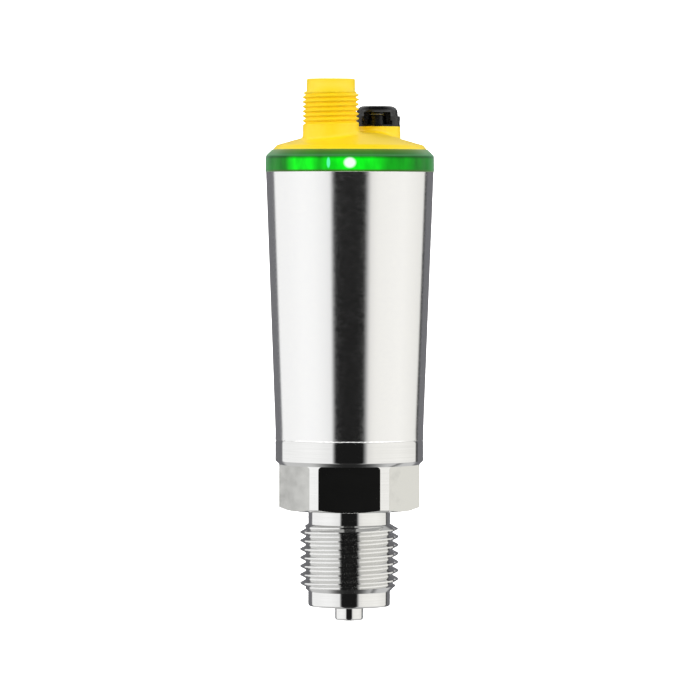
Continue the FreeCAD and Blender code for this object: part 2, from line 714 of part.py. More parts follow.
def connector_shroud():
    """Threaded collar of the plug, with a plain lead above the thread."""
    blank = turned([
        (0, CONNECTOR_BASE_Z),
        (CONNECTOR_THREAD_RADIUS, CONNECTOR_BASE_Z),
        (CONNECTOR_THREAD_RADIUS, CONNECTOR_THREAD_Z - CONNECTOR_LEAD_STEP / 2),
        (CONNECTOR_LEAD_RADIUS, CONNECTOR_THREAD_Z),
        (CONNECTOR_LEAD_RADIUS, CONNECTOR_TOP_Z, CONNECTOR_LEAD_EDGE),
        (0, CONNECTOR_TOP_Z),
    ], connector_axis())
    return blank.cut(thread_grooves(
        CONNECTOR_THREAD_DIAMETER,
        CONNECTOR_THREAD_PITCH,
        CONNECTOR_THREAD_DEPTH,
        CONNECTOR_THREAD_HALF_ANGLE,
        CONNECTOR_THREAD_CREST,
        CONNECTOR_BASE_Z,
        CONNECTOR_THREAD_Z - CONNECTOR_THREAD_RELIEF,
        connector_axis(),
    ))


def socket_key():
    """Rib in the shroud that lets the plug in one way round only."""
    x, y = connector_axis()
    return block(
        (x - KEY_WIDTH / 2, y + SOCKET_RADIUS - KEY_HEIGHT, SOCKET_FLOOR_Z),
        (x + KEY_WIDTH / 2, y + SOCKET_RADIUS + JOIN_SPARE, CONNECTOR_TOP_Z - KEY_SETBACK),
    )


# Plug contacts

def contact_places():
    """The contacts stand on a circle, at 45 degrees to the key."""
    angles = [45 + i * 360 / CONTACT_COUNT for i in range(CONTACT_COUNT)]
    return [on_circle(CONTACT_CIRCLE / 2, angle, connector_axis()) for angle in angles]


def contact_carrier():
    """Moulded insert of the plug, seated from below against the shoulder in the shroud."""
    body = SOCKET_RADIUS - SOCKET_CLEARANCE
    flange = body + CARRIER_FLANGE_WIDTH
    carrier = turned([
        (0, CARRIER_SEAT_Z - CARRIER_FLANGE_HEIGHT),
        (flange, CARRIER_SEAT_Z - CARRIER_FLANGE_HEIGHT),
        (flange, CARRIER_SEAT_Z),
        (body, CARRIER_SEAT_Z),
        (body, SOCKET_FLOOR_Z),
        (0, SOCKET_FLOOR_Z),
    ], connector_axis())
    hole = CONTACT_DIAMETER / 2 + CONTACT_FIT
    bottom = CARRIER_SEAT_Z - CARRIER_FLANGE_HEIGHT
    holes = [rod(hole, bottom, SOCKET_FLOOR_Z, place) for place in contact_places()]
    return carrier.cut(holes)


def contact_pin(place):
    """Round contact with a domed tip, a collar under the insert, and a tail through the light board."""
    radius = CONTACT_DIAMETER / 2
    tail = LIGHT_BOARD_Z - CONTACT_TAIL
    tip = CONNECTOR_TOP_Z - CONTACT_RECESS
    collar_top = CARRIER_SEAT_Z - CARRIER_FLANGE_HEIGHT
    return turned([
        (0, tail),
        (radius, tail),
        (radius, collar_top - CONTACT_COLLAR_HEIGHT),
        (radius + CONTACT_COLLAR, collar_top - CONTACT_COLLAR_HEIGHT),
        (radius + CONTACT_COLLAR, collar_top),
        (radius, collar_top),
        (radius, tip, CONTACT_TIP_RADIUS),
        (0, tip),
    ], place)


# Air vent

def vent_body():
    """Snap-in plug with an air channel: flange and post above the boss, slit stem with barbs below."""
    stem = VENT_HOLE_DIAMETER / 2 - VENT_STEM_CLEARANCE
    barb_top = INNER_BOSS_Z - VENT_STEM_CLEARANCE
    barb_bottom = barb_top - VENT_BARB_LENGTH
    channel = VENT_CHANNEL_DIAMETER / 2
    plug = turned([
        (channel, barb_bottom),
        (stem - VENT_BARB / 2, barb_bottom),
        (stem + VENT_BARB, barb_top),
        (stem, barb_top),
        (stem, VENT_BOSS_Z),
        (COVER_RADIUS, VENT_BOSS_Z),
        (COVER_RADIUS, VENT_FLANGE_Z),
        (VENT_POST_DIAMETER / 2, VENT_FLANGE_Z),
        (VENT_POST_DIAMETER / 2, VENT_POST_Z, VENT_POST_EDGE),
        (channel, VENT_POST_Z),
    ], vent_axis())
    x, y = vent_axis()
    reach = stem + 2 * VENT_BARB
    half = VENT_BARB_SLOT / 2
    slit = block(
        (x - reach, y - half, barb_bottom - CUT_SPARE),
        (x + reach, y + half, INNER_BOSS_Z + VENT_BARB_LENGTH),
    )
    return plug.cut([slit, around(slit, 90, vent_axis())])


def vent_seal():
    middle = VENT_HOLE_DIAMETER / 2 + SEAL_SIDE_CLEARANCE / 2 + VENT_SEAL_CORD / 2
    return o_ring(middle, VENT_SEAL_CORD, VENT_BOSS_Z - VENT_SEAL_CORD / 2, vent_axis())


def vent_membrane():
    radius = VENT_POST_DIAMETER / 2 - MEMBRANE_INSET
    return rod(radius, VENT_POST_Z, VENT_POST_Z + MEMBRANE_THICKNESS, vent_axis())


def vent_cover():
    """Cup with a stepped collar, three windows, and a splash baffle over the membrane."""
    x, y = vent_axis()
    outer = COVER_RADIUS
    step = outer - COVER_STEP
    top = VENT_FLANGE_Z + COVER_HEIGHT
    step_z = VENT_FLANGE_Z + COVER_COLLAR_HEIGHT
    inside = VENT_POST_DIAMETER / 2
    baffle = inside + BAFFLE_MARGIN
    baffle_z = VENT_POST_Z + MEMBRANE_THICKNESS + BAFFLE_CLEARANCE
    cup = turned([
        (outer, VENT_FLANGE_Z),
        (outer, step_z),
        (step, step_z),
        (step - COVER_DRAFT, top, COVER_EDGE),
        (0, top),
        (0, baffle_z),
        (baffle, baffle_z),
        (baffle, top - COVER_WALL),
        (step - COVER_DRAFT - COVER_WALL, top - COVER_WALL, COVER_EDGE - COVER_WALL),
        (step - COVER_WALL, VENT_FLANGE_Z),
    ], vent_axis())
    upper = block(
        (x - WINDOW_WIDTH / 2, y - 2 * outer, VENT_FLANGE_Z - CUT_SPARE),
        (x + WINDOW_WIDTH / 2, y - inside, VENT_FLANGE_Z + WINDOW_HEIGHT),
    )
    foot = block(
        (x - WINDOW_FOOT_WIDTH / 2, y - 2 * outer, VENT_FLANGE_Z - CUT_SPARE),
        (x + WINDOW_FOOT_WIDTH / 2, y - inside, VENT_FLANGE_Z + WINDOW_FOOT_HEIGHT),
    )
    windows = []
    for i in range(WINDOW_COUNT):
        windows.append(around(upper, i * 360 / WINDOW_COUNT, vent_axis()))
        windows.append(around(foot, i * 360 / WINDOW_COUNT, vent_axis()))
    return cup.cut(windows)


# Sensor cell

def sensor_cell():
    """Steel cup, open to the pressure channel below, whose thin top is the diaphragm."""
    cavity = CELL_CAVITY_DIAMETER / 2
    top = PORT_BOSS_Z + CELL_HEIGHT
    base_top = PORT_BOSS_Z + CELL_BASE_HEIGHT
    return turned([
        (cavity, PORT_BOSS_Z),
        (CELL_BASE_DIAMETER / 2, PORT_BOSS_Z),
        (CELL_BASE_DIAMETER / 2, base_top),
        (CELL_DIAMETER / 2, base_top),
        (CELL_DIAMETER / 2, top),
        (0, top),
        (0, top - DIAPHRAGM_THICKNESS),
        (cavity, top - DIAPHRAGM_THICKNESS, CELL_CAVITY_EDGE),
    ])


def cell_support():
    """Moulded ring on the ledge of the fitting, which carries the cell's board."""
    outer = LIP_BORE_RADIUS - SUPPORT_CLEARANCE
    return tube(outer - SUPPORT_WALL, outer, LEDGE_Z, SUPPORT_TOP_Z)


def cell_board():
    """Round board over the cell, open at the diaphragm for the bond wires."""
    return tube(CELL_BOARD_HOLE / 2, CELL_BOARD_RADIUS, SUPPORT_TOP_Z, CELL_BOARD_Z)


def cell_amplifier():
    half = AMPLIFIER_WIDTH / 2
    middle = CELL_BOARD_MIDDLE
    top = CELL_BOARD_Z + AMPLIFIER_HEIGHT
    body = block((-half, middle - half, CELL_BOARD_Z), (half, middle + half, top))
    rim = [edge for edge in body.Edges if edge.CenterOfMass.z > top - 0.01]
    return body.makeChamfer(AMPLIFIER_CHAMFER, rim)


def flex_plane_y():
    return -BOARD_FACE - FLEX_STAND_OFF


def flex_start_z():
    return CELL_BOARD_Z + SOCKET_BLOCK_HEIGHT / 2


def flex_start_y():
    return SOCKET_BLOCK_DEPTH / 2 - CELL_BOARD_MIDDLE


def lower_flex_socket():
    half = SOCKET_BLOCK_WIDTH / 2
    return block(
        (-half, flex_start_y() - SOCKET_BLOCK_DEPTH, CELL_BOARD_Z),
        (half, flex_start_y(), CELL_BOARD_Z + SOCKET_BLOCK_HEIGHT),
    )


def upper_flex_socket():
    half = SOCKET_BLOCK_WIDTH / 2
    bottom = on_board(UPPER_SOCKET_PLACE)
    return block(
        (-half, flex_plane_y() - FLEX_STAND_OFF, bottom),
        (half, -BOARD_FACE, bottom + UPPER_SOCKET_HEIGHT),
    )


def flex_cable():
    """Flat cable: level out of the lower socket, one bend, and up into the socket on the main board."""
    z = flex_start_z()
    y = flex_plane_y()
    top = on_board(UPPER_SOCKET_PLACE)
    half = FLEX_THICKNESS / 2
    face = Part.Face(outline([
        (flex_start_y(), z - half),
        (y + half, z - half, FLEX_BEND + half),
        (y + half, top),
        (y - half, top),
        (y - half, z + half, FLEX_BEND - half),
        (flex_start_y(), z + half),
    ]))
    face.rotate(at(0, 0, 0), at(0, 0, 1), 90)
    face.translate(at(-FLEX_WIDTH / 2, 0, 0))
    return face.extrude(at(FLEX_WIDTH, 0, 0))


# Main board and its carrier

def electronics_carrier():
    """Moulded frame: foot ring on the fitting's lip, two grooved rails, ring under the light board."""
    foot = tube(FOOT_RING_BORE_RADIUS, CARRIER_RADIUS, LIP_TOP_Z, LIP_TOP_Z + CARRIER_FOOT_HEIGHT)
    ring_z = LIGHT_BOARD_Z - CARRIER_TOP_RING_HEIGHT
    top_ring = tube(TOP_RING_RADIUS - CARRIER_TOP_RING_WALL, TOP_RING_RADIUS, ring_z, LIGHT_BOARD_Z)
    half = RAIL_WIDTH / 2
    rails = []
    for side in (-1, 1):
        rail = block((RAIL_FACE_X, -half, LIP_TOP_Z), (RAIL_RADIUS, half, LIGHT_BOARD_Z))
        groove = block(
            (RAIL_FACE_X - CUT_SPARE, -BOARD_FACE - RAIL_FIT, BOARD_BOTTOM_Z),
            (RAIL_FACE_X + RAIL_GROOVE, BOARD_FACE + RAIL_FIT, LIGHT_BOARD_Z + CUT_SPARE),
        )
        rail = rail.cut(groove)
        rails.append(around(rail, 90 - 90 * side))
    return foot.fuse([top_ring] + rails).removeSplitter()


def main_board():
    low = (-BOARD_HALF_WIDTH, -BOARD_FACE, BOARD_BOTTOM_Z)
    return block(low, (BOARD_HALF_WIDTH, BOARD_FACE, BOARD_TOP_Z))


def on_board(place):
    """Height of a place on the main board."""
    return BOARD_BOTTOM_Z + place * (BOARD_TOP_Z - BOARD_BOTTOM_Z)


def on_front(shape):
    """Turns a piece that was built on the back of the main board round to its front."""
    return around(shape, 180)


def leads(half_width, count, pitch):
    """Feet of one chip's two rows of leads, either side of the origin."""
    near = half_width - LEAD_LAP
    far = half_width + LEAD_REACH
    feet = []
    for i in range(count):
        middle = (i - (count - 1) / 2) * pitch
        low = middle - LEAD_WIDTH / 2
        high = middle + LEAD_WIDTH / 2
        feet.append(block((near, BOARD_FACE, low), (far, BOARD_FACE + LEAD_HEIGHT, high)))
        feet.append(block((-far, BOARD_FACE, low), (-near, BOARD_FACE + LEAD_HEIGHT, high)))
    return feet


def chip(width, length, height, feet, z):
    """Moulded chip on the back of the main board, its gull-wing leads cut as plain feet."""
    body = block(
        (-width / 2, BOARD_FACE + CHIP_STAND_OFF, -length / 2),
        (width / 2, BOARD_FACE + height, length / 2),
    )
    body = body.fuse(feet).removeSplitter()
    body.translate(at(0, 0, z))
    return body


def microcontroller():
    """Square chip with leads on all four sides."""
    feet = leads(CONTROLLER_WIDTH / 2, CONTROLLER_LEAD_COUNT, CONTROLLER_LEAD_PITCH)
    for foot in list(feet):
        crosswise = foot.copy()
        crosswise.rotate(at(0, 0, 0), at(0, 1, 0), 90)
        feet.append(crosswise)
    z = on_board(CONTROLLER_PLACE)
    return on_front(chip(CONTROLLER_WIDTH, CONTROLLER_WIDTH, CONTROLLER_HEIGHT, feet, z))


def output_driver(place):
    feet = leads(DRIVER_WIDTH / 2, DRIVER_LEAD_COUNT, DRIVER_LEAD_PITCH)
    return chip(DRIVER_WIDTH, DRIVER_LENGTH, DRIVER_HEIGHT, feet, on_board(place))


def crystal():
    """Small metal can with rounded upright edges."""
    z = on_board(CRYSTAL_PLACE)
    body = block(
        (-CRYSTAL_WIDTH / 2, BOARD_FACE, z - CRYSTAL_LENGTH / 2),
        (CRYSTAL_WIDTH / 2, BOARD_FACE + CRYSTAL_HEIGHT, z + CRYSTAL_LENGTH / 2),
    )
    middle = BOARD_FACE + CRYSTAL_HEIGHT / 2
    corners = [edge for edge in body.Edges if abs(edge.CenterOfMass.y - middle) < 0.01]
    return on_front(body.makeFillet(CRYSTAL_EDGE, corners))


def surge_suppressor():
    """Moulded block with a flat solder tab at each side."""
    z = on_board(SUPPRESSOR_PLACE)
    half = SUPPRESSOR_WIDTH / 2
    body = block(
        (-half, BOARD_FACE + SUPPRESSOR_STAND_OFF, z - SUPPRESSOR_LENGTH / 2),
        (half, BOARD_FACE + SUPPRESSOR_HEIGHT, z + SUPPRESSOR_LENGTH / 2),
    )
    tab = block(
        (half - TAB_LAP, BOARD_FACE, z - TAB_WIDTH / 2),
        (half + TAB_REACH, BOARD_FACE + TAB_HEIGHT, z + TAB_WIDTH / 2),
    )
    other = tab.mirror(at(0, 0, 0), at(1, 0, 0))
    return on_front(body.fuse([tab, other]).removeSplitter())


def lying(shape, x, z):
    """Lays a piece that was built upright on the origin on the back of the main board, foot first."""
    shape.rotate(at(0, 0, 0), at(1, 0, 0), -90)
    shape.translate(at(x, BOARD_FACE, z))
    return shape


def storage_capacitor():
    """Metal can with a rolled neck on a square base."""
    radius = CAPACITOR_DIAMETER / 2
    base = CAPACITOR_PLATE_HEIGHT
    neck = radius - CAPACITOR_NECK_DEPTH
    neck_z = base + CAPACITOR_NECK_RISE
    third = CAPACITOR_NECK_WIDTH / 3
    can = turned([
        (0, base),
        (radius, base, CAPACITOR_FOOT_EDGE),
        (radius, neck_z),
        (neck, neck_z + third),
        (neck, neck_z + 2 * third),
        (radius, neck_z + 3 * third),
        (radius, CAPACITOR_HEIGHT, CAPACITOR_TOP_EDGE),
        (0, CAPACITOR_HEIGHT),
    ])
    side = radius + CAPACITOR_PLATE_MARGIN
    plate = block((-side, -side, 0), (side, side, base))
    return lying(can.fuse(plate), CAPACITOR_X, on_board(CAPACITOR_PLACE))


def choke_coil():
    """Drum core with its winding between two flanges."""
    flange = CHOKE_DIAMETER / 2
    winding = flange - CHOKE_WINDING_DEPTH
    drum = turned([
        (0, 0),
        (flange, 0),
        (flange, CHOKE_FLANGE),
        (winding, CHOKE_FLANGE),
        (winding, CHOKE_HEIGHT - CHOKE_FLANGE),
        (flange, CHOKE_HEIGHT - CHOKE_FLANGE),
        (flange, CHOKE_HEIGHT),
        (0, CHOKE_HEIGHT),
    ])
    return lying(drum, CHOKE_X, on_board(CHOKE_PLACE))


def header_pin_places():
    return [(i - (HEADER_PIN_COUNT - 1) / 2) * HEADER_PITCH for i in range(HEADER_PIN_COUNT)]


def board_header():
    """Moulded strip on the back of the main board, whose pins rise through the light board."""
    half = HEADER_PIN_COUNT * HEADER_PITCH / 2
    pin = HEADER_PIN_WIDTH / 2
    strip = block(
        (-half, BOARD_FACE, BOARD_TOP_Z - HEADER_HEIGHT),
        (half, BOARD_FACE + HEADER_DEPTH, BOARD_TOP_Z),
    )
    pins = []
    for x in header_pin_places():
        pins.append(block(
            (x - pin, HEADER_Y - pin, BOARD_TOP_Z - HEADER_HEIGHT / 2),
            (x + pin, HEADER_Y + pin, LIGHT_BOARD_TOP_Z + HEADER_PIN_RISE),
        ))
    return strip.fuse(pins).removeSplitter()


# Light board and lamps

def light_board():
    """Round board on the carrier's top ring, drilled for the contacts and the header pins."""
    board = rod(LIGHT_BOARD_RADIUS, LIGHT_BOARD_Z, LIGHT_BOARD_TOP_Z)
    holes = []
    for place in contact_places():
        radius = CONTACT_DIAMETER / 2 + PIN_HOLE_CLEARANCE
        holes.append(rod(radius, LIGHT_BOARD_Z, LIGHT_BOARD_TOP_Z, place))
    header_hole = HEADER_PIN_WIDTH * math.sqrt(0.5) + PIN_HOLE_CLEARANCE
    for x in header_pin_places():
        holes.append(rod(header_hole, LIGHT_BOARD_Z, LIGHT_BOARD_TOP_Z, (x, HEADER_Y)))
    return board.cut(holes)


def lamp(angle):
    """Side-looking lamp: a block at the board's edge with a shallow round lens facing outwards."""
    half = LAMP_WIDTH / 2
    face = LIGHT_BOARD_RADIUS - LAMP_SETBACK
    lens_radius = (half * half + LAMP_LENS_DEPTH ** 2) / (2 * LAMP_LENS_DEPTH)
    bottom = LIGHT_BOARD_TOP_Z
    top = bottom + LAMP_HEIGHT
    body = block((face - LAMP_DEPTH, -half, bottom), (face, half, top))
    centre = (face + LAMP_LENS_DEPTH - lens_radius, 0)
    lens = rod(lens_radius, bottom + LAMP_LENS_MARGIN, top - LAMP_LENS_MARGIN, centre)
    keep = block((face - JOIN_SPARE, -half, bottom), (face + CUT_SPARE, half, top))
    return around(body.fuse(lens.common(keep)), angle)


# All pieces

def pieces():
    """Every piece by its node name."""
    parts = {
        "process_fitting": process_fitting(),
        "housing_tube": housing_tube(),
        "light_ring": light_ring(),
        "tube_seal": tube_seal(),
        "cap_seal": cap_seal(),
        "head_cap": head_cap(),
        "contact_carrier": contact_carrier(),
        "vent_body": vent_body(),
        "vent_seal": vent_seal(),
        "vent_membrane": vent_membrane(),
        "vent_cover": vent_cover(),
        "sensor_cell": sensor_cell(),
        "cell_support": cell_support(),
        "cell_board": cell_board(),
        "cell_amplifier": cell_amplifier(),
        "lower_flex_socket": lower_flex_socket(),
        "upper_flex_socket": upper_flex_socket(),
        "flex_cable": flex_cable(),
        "electronics_carrier": electronics_carrier(),
        "main_board": main_board(),
        "microcontroller": microcontroller(),
        "crystal": crystal(),
        "surge_suppressor": surge_suppressor(),
        "storage_capacitor": storage_capacitor(),
        "choke_coil": choke_coil(),
        "board_header": board_header(),
        "light_board": light_board(),
    }
    for index, place in enumerate(DRIVER_PLACES):
        parts[f"output_driver_{index + 1}"] = output_driver(place)
    for index, place in enumerate(contact_places()):
        parts[f"contact_pin_{index + 1}"] = contact_pin(place)
    for index in range(LAMP_COUNT):
        parts[f"lamp_{index + 1}"] = lamp(FRONT + index * 360 / LAMP_COUNT)
    return parts


os.makedirs("parts", exist_ok=True)
for name, shape in pieces().items():
    shape.exportStep(f"parts/{name}.step")
    print(f"{name:22s} solids {len(shape.Solids)}  valid {shape.isValid()}  volume {shape.Volume:9.2f}")
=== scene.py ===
import json
import math

import bmesh
import bpy
from mathutils import Euler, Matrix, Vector


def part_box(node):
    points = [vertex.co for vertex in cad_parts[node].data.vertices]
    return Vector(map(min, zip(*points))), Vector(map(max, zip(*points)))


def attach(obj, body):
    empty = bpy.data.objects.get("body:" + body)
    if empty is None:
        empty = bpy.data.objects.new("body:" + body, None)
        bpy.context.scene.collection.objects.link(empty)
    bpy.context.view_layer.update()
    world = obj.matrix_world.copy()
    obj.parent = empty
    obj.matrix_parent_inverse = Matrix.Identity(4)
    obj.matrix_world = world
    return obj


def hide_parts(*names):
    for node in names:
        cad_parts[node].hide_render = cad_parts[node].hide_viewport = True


# Pressure transmitter, dressed: steel fitting and housing, light ring, plug head and air vent.
# Lengths are in millimetres and angles in degrees. A finished piece is scaled to metres.
# +Z runs up to the plug, -Y is the front, and angles turn from +X towards +Y.

MM = 0.001

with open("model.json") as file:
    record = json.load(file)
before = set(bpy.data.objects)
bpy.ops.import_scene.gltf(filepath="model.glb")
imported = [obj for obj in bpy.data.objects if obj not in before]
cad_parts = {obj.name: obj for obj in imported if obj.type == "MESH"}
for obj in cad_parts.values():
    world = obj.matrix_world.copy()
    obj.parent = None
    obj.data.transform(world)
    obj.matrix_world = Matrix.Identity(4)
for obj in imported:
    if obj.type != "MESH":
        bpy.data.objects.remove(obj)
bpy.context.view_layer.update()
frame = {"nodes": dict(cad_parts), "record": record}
mounts = {mount["name"]: mount for mount in frame["record"]["mounts"]}


def node_box(node):
    low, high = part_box(node)
    return low / MM, high / MM


def mount_point(name):
    return Vector(mounts[name]["pos_m"]) / MM


fitting_low, fitting_high = node_box("process_fitting")
tube_low, tube_high = node_box("housing_tube")
ring_high = node_box("light_ring")[1]
cap_high = node_box("head_cap")[1]
membrane_low, membrane_high = node_box("vent_membrane")
cover_low, cover_high = node_box("vent_cover")

# Process fitting, below the sealing face
SPIGOT_BOTTOM_Z = fitting_low.z
SPIGOT_RADIUS = 3.0
SPIGOT_LENGTH = 3.0
SPIGOT_EDGE = 0.5
SPIGOT_FILLET = 0.2
PORT_EDGE = 0.2
PILOT_LENGTH = 3.2
PILOT_EDGE = 0.5
NECK_HEIGHT = 3.0
NECK_RADIUS = 8.75
NECK_FILLET = 0.25
PORT_RADIUS = mounts["pressure_port"]["dims"]["r_mm"]
THREAD_BOTTOM_Z = SPIGOT_BOTTOM_Z + SPIGOT_LENGTH + PILOT_LENGTH

# Process thread, G 1/2. One of its crests is at the given height on the left side of the picture.
PROCESS_CREST_RADIUS = mounts["process_thread"]["dims"]["r_mm"]
PROCESS_PITCH = 1.814
PROCESS_DEPTH = 1.162
PROCESS_HALF_ANGLE = 27.5
PROCESS_CREST = 0.3
PROCESS_TURNS = 9
PROCESS_LEFT_CREST_Z = -4.8
THREAD_RUNOUT_ANGLE = 60.0

# Process fitting, hexagon and collar
HEX_SIDES = 6
HEX_FLAT_RADIUS = 13.5
HEX_CORNER_RADIUS = 15.0
HEX_HEIGHT = 9.75
HEX_CHAMFER_ANGLE = 20.0
SEAL_FACE_RADIUS = 13.4
SEAL_FACE_EDGE = 0.1
FLAT_CORNER_RADIUS = 0.7
COLLAR_RADIUS = fitting_high.x
COLLAR_EDGE = 0.2
WELD_Z = tube_low.z

# Process fitting, the cup for the sensor cell
LIP_TOP_Z = fitting_high.z
LIP_RADIUS = 14.55
LIP_BORE_RADIUS = 13.0
LEDGE_Z = LIP_TOP_Z - 6.0
RECESS_RADIUS = 11.0
RECESS_FLOOR_Z = LEDGE_Z - 4.5
PORT_BOSS_RADIUS = 7.5
PORT_BOSS_Z = RECESS_FLOOR_Z + 3.0

# Weld bead
BEAD_DROP = 0.1
BEAD_HALF_WIDTH = 0.13
BEAD_RISE = 0.036
BEAD_BURIED = 0.3
BEAD_RIPPLES = 82
BEAD_RIPPLE_DEPTH = 0.012
BEAD_CRESCENT = 1.6
BEAD_STATIONS = (-1.0, -0.7, -0.35, 0.0, 0.35, 0.7, 1.0)
SEAM_GAP_DEPTH = 0.12
SEAM_GAP_WIDTH = 0.3

# Housing tube
TUBE_TOP_Z = tube_high.z
TUBE_TOP_RADIUS = tube_high.x
TUBE_STRAIGHT = 1.95
TUBE_WALL = 1.2
TUBE_EDGE = 0.05
MOUTH_WALL = 1.175
MOUTH_DEPTH = 6.5

# Plug shroud on the cap, M12. One of its crests is at the given height on the left side of the picture.
PLUG_AXIS = mount_point("connector_thread").xy
PLUG_TOP_Z = cap_high.z
PLUG_LEAD_LENGTH = 2.65
PLUG_THREAD_LENGTH = 7.25
PLUG_LEAD_STEP = 0.825
PLUG_LEAD_EDGE = 0.35
PLUG_PITCH = 1.0
PLUG_DEPTH = 0.6
PLUG_HALF_ANGLE = 30.0
PLUG_CREST = 0.2
PLUG_TURNS = 9
PLUG_LEFT_CREST_Z = 82.9
PLUG_CREST_RADIUS = mounts["connector_thread"]["dims"]["r_mm"]
PLUG_BASE_RADIUS = 5.925
PLUG_LEAD_RADIUS = PLUG_CREST_RADIUS - PLUG_LEAD_STEP
PLUG_THREAD_TOP_Z = PLUG_TOP_Z - PLUG_LEAD_LENGTH
PLUG_BASE_Z = PLUG_THREAD_TOP_Z - PLUG_THREAD_LENGTH
SHROUD_SEAM_Z = PLUG_BASE_Z - 0.02
SOCKET_RADIUS = 4.25
SOCKET_EDGE = 0.15
SOCKET_DEPTH = 7.25
KEY_WIDTH = 1.2
KEY_HEIGHT = 0.5
KEY_SETBACK = 1.2
KEY_EDGE = 0.12
KEY_BURIED = 0.2

# Vent cover
VENT_AXIS = ((membrane_low + membrane_high) / 2).xy
COVER_BOTTOM_Z = cover_low.z
COVER_TOP_Z = cover_high.z
COVER_RADIUS = 4.95
COVER_COLLAR_HEIGHT = 1.85
COVER_STEP = 0.4
COVER_DRAFT = 0.3
COVER_EDGE = 1.5
COVER_WALL = 0.9
COVER_BREAK = 0.1
BAFFLE_RADIUS = 2.9
BAFFLE_Z = membrane_high.z + 0.25
BAFFLE_LIP = 0.18
BAFFLE_LIP_Z = membrane_high.z
WINDOW_COUNT = 3
WINDOW_CLEARANCE = 0.05
WINDOW_WIDTH = 5.7
WINDOW_HEIGHT = 2.75
WINDOW_FOOT_WIDTH = 6.4
WINDOW_FOOT_HEIGHT = 0.9
WINDOW_CORNER = 0.3

# Light ring
LAMP_COUNT = 8
RING_BOTTOM_Z = TUBE_TOP_Z
RING_TOP_Z = ring_high.z
RING_RADIUS = ring_high.x
HOT_SPOT_HEIGHT = 1.85
HOT_SPOT_FADE = (1.35, 0.75)
GLOW_COLOUR = "#0CFF1C"
RING_GLOW = 0.2
# Pools of light in it: degrees to the right of the front, half width in degrees, and brightness
LIGHT_POOLS = [
    (8, 52, 0.18),
    (1, 26, 0.62),
    (-35, 15, 0.78),
    (-132, 34, 0.6),
    (132, 34, 0.6),
    (180, 20, 0.6),
]
# Share of a pool's half width that is fully lit
POOL_CORE = 0.25
# How bright the ring is at shares of its height
RING_BANDS = [
    (0.0, 0.08),
    (0.05, 0.16),
    (0.12, 1.0),
    (0.55, 1.0),
    (0.64, 0.4),
    (0.7, 0.06),
]
# Light painted on its rims as emitted colour, at shares of its height: olive at the foot, the yellow cap's
# olive light on the top bevel, and a painted highlight line below the bevel
RING_RIM_PAINTED_LIGHT = [
    (0.0, "#4C5A2A"),
    (0.08, "#1C3C12"),
    (0.12, "#000000"),
    (0.66, "#000000"),
    (0.73, "#44784A"),
    (0.79, "#2C5C22"),
    (0.9, "#4A6420"),
    (1.0, "#6C7430"),
]
# Lamps that show through, after a painted glint beside the front lamp: degrees to the right of the front,
# half width, half height, colour
HOT_SPOTS_AND_GLINT = [
    (-14.5, 0.35, 1.0, "#60FFB4"),
    (0, 1.15, 1.0, "#F4FFF8"),
    (135, 1.15, 1.0, "#F4FFF8"),
    (180, 1.15, 1.0, "#F4FFF8"),
    (-135, 1.15, 1.0, "#F4FFF8"),
]

# Nearly all of a noise lies between these two values
NOISE_LOW = 0.3
NOISE_HIGH = 0.7

# Smudges on the hexagon, tracks on the boards with their width as a share, and streaks in the ring
SMUDGE_SIZE = 2.2
SMUDGE_DEPTH = 0.001
SMUDGE_SHARE = 0.45
# How far the hexagon's steel grows lighter and smoother towards the right
RIGHTWARD_LIFT = 0.55
TRACK_SPACING = 1.2
TRACK_WIDTH = 0.06
TRACK_DEPTH = 0.03
STREAK_SIZE = 2.4
STREAK_DIM = 0.68
STREAK_BRIGHT = 1.15
LENS_CLOUD_SIZE = 0.5

# Studio: brightness of the walls by direction, in degrees to the right of the camera, then red, green, blue
SOFTBOXES = [
    (-180, 0.16, 0.16, 0.17),
    (-131, 0.16, 0.16, 0.17),
    (-127, 0.9, 0.9, 0.9),
    (-98, 0.92, 0.92, 0.92),
    (-70, 0.96, 0.96, 0.96),
    (-52, 0.94, 0.94, 0.94),
    (-38, 0.88, 0.88, 0.88),
    (-27, 0.83, 0.83, 0.83),
    (-24, 0.25, 0.25, 0.25),
    (-21, 0.01, 0.01, 0.01),
    (21, 0.01, 0.01, 0.01),
    (25, 0.3, 0.3, 0.3),
    (29, 0.76, 0.75, 0.73),
    (40, 0.87, 0.86, 0.83),
    (55, 0.89, 0.88, 0.85),
    (82, 0.92, 0.91, 0.88),
    (105, 0.86, 0.85, 0.82),
    (125, 0.8, 0.79, 0.76),
    (128, 0.1, 0.1, 0.1),
    (131, 0.04, 0.04, 0.04),
    (137, 0.16, 0.16, 0.17),
    (180, 0.16, 0.16, 0.17),
]
# Above and below the walls: the rise, as a sine, where each layer starts and where it is whole
OVERHEAD_REACH = (0.29, 0.4)
HIGH_REACH = (0.56, 0.7)
ZENITH_REACH = (0.76, 0.88)
FLOOR_REACH = (-0.38, -0.5)
NADIR_REACH = (-0.84, -1.0)
# How bright they are
OVERHEAD_SHADE = 2.8
BACK_SHADE = 0.8
HIGH_SHADE = 0.62
ZENITH_SHADE = 0.03
FLOOR_SHADE = 0.55
NADIR_SHADE = 0.02
STUDIO_STRENGTH = 1.16
# The overhead lamp fades in between these two values of the direction's share towards the front
OVERHEAD_FADE = (-0.25, 0.15)
# The floor is as bright as its shade where the wall above it reaches this brightness
FLOOR_FULL_LIGHT = 0.16

# Backdrop and camera
FLOOR_Z = -1200.0
WALL_RADIUS = 2600.0
WALL_HEIGHT = 4400.0
WALL_STEPS = 64
WALL_MERGE_DISTANCE = 0.1
LENS = 265.2
SENSOR_WIDTH = 36.0
CAMERA_PLACE = (0.1, -1100.0, 66.1)
CAMERA_TARGET = (0.1, 0.0, 34.1)
CAMERA_ROLL = 0.1
CAMERA_REACH = 20000.0

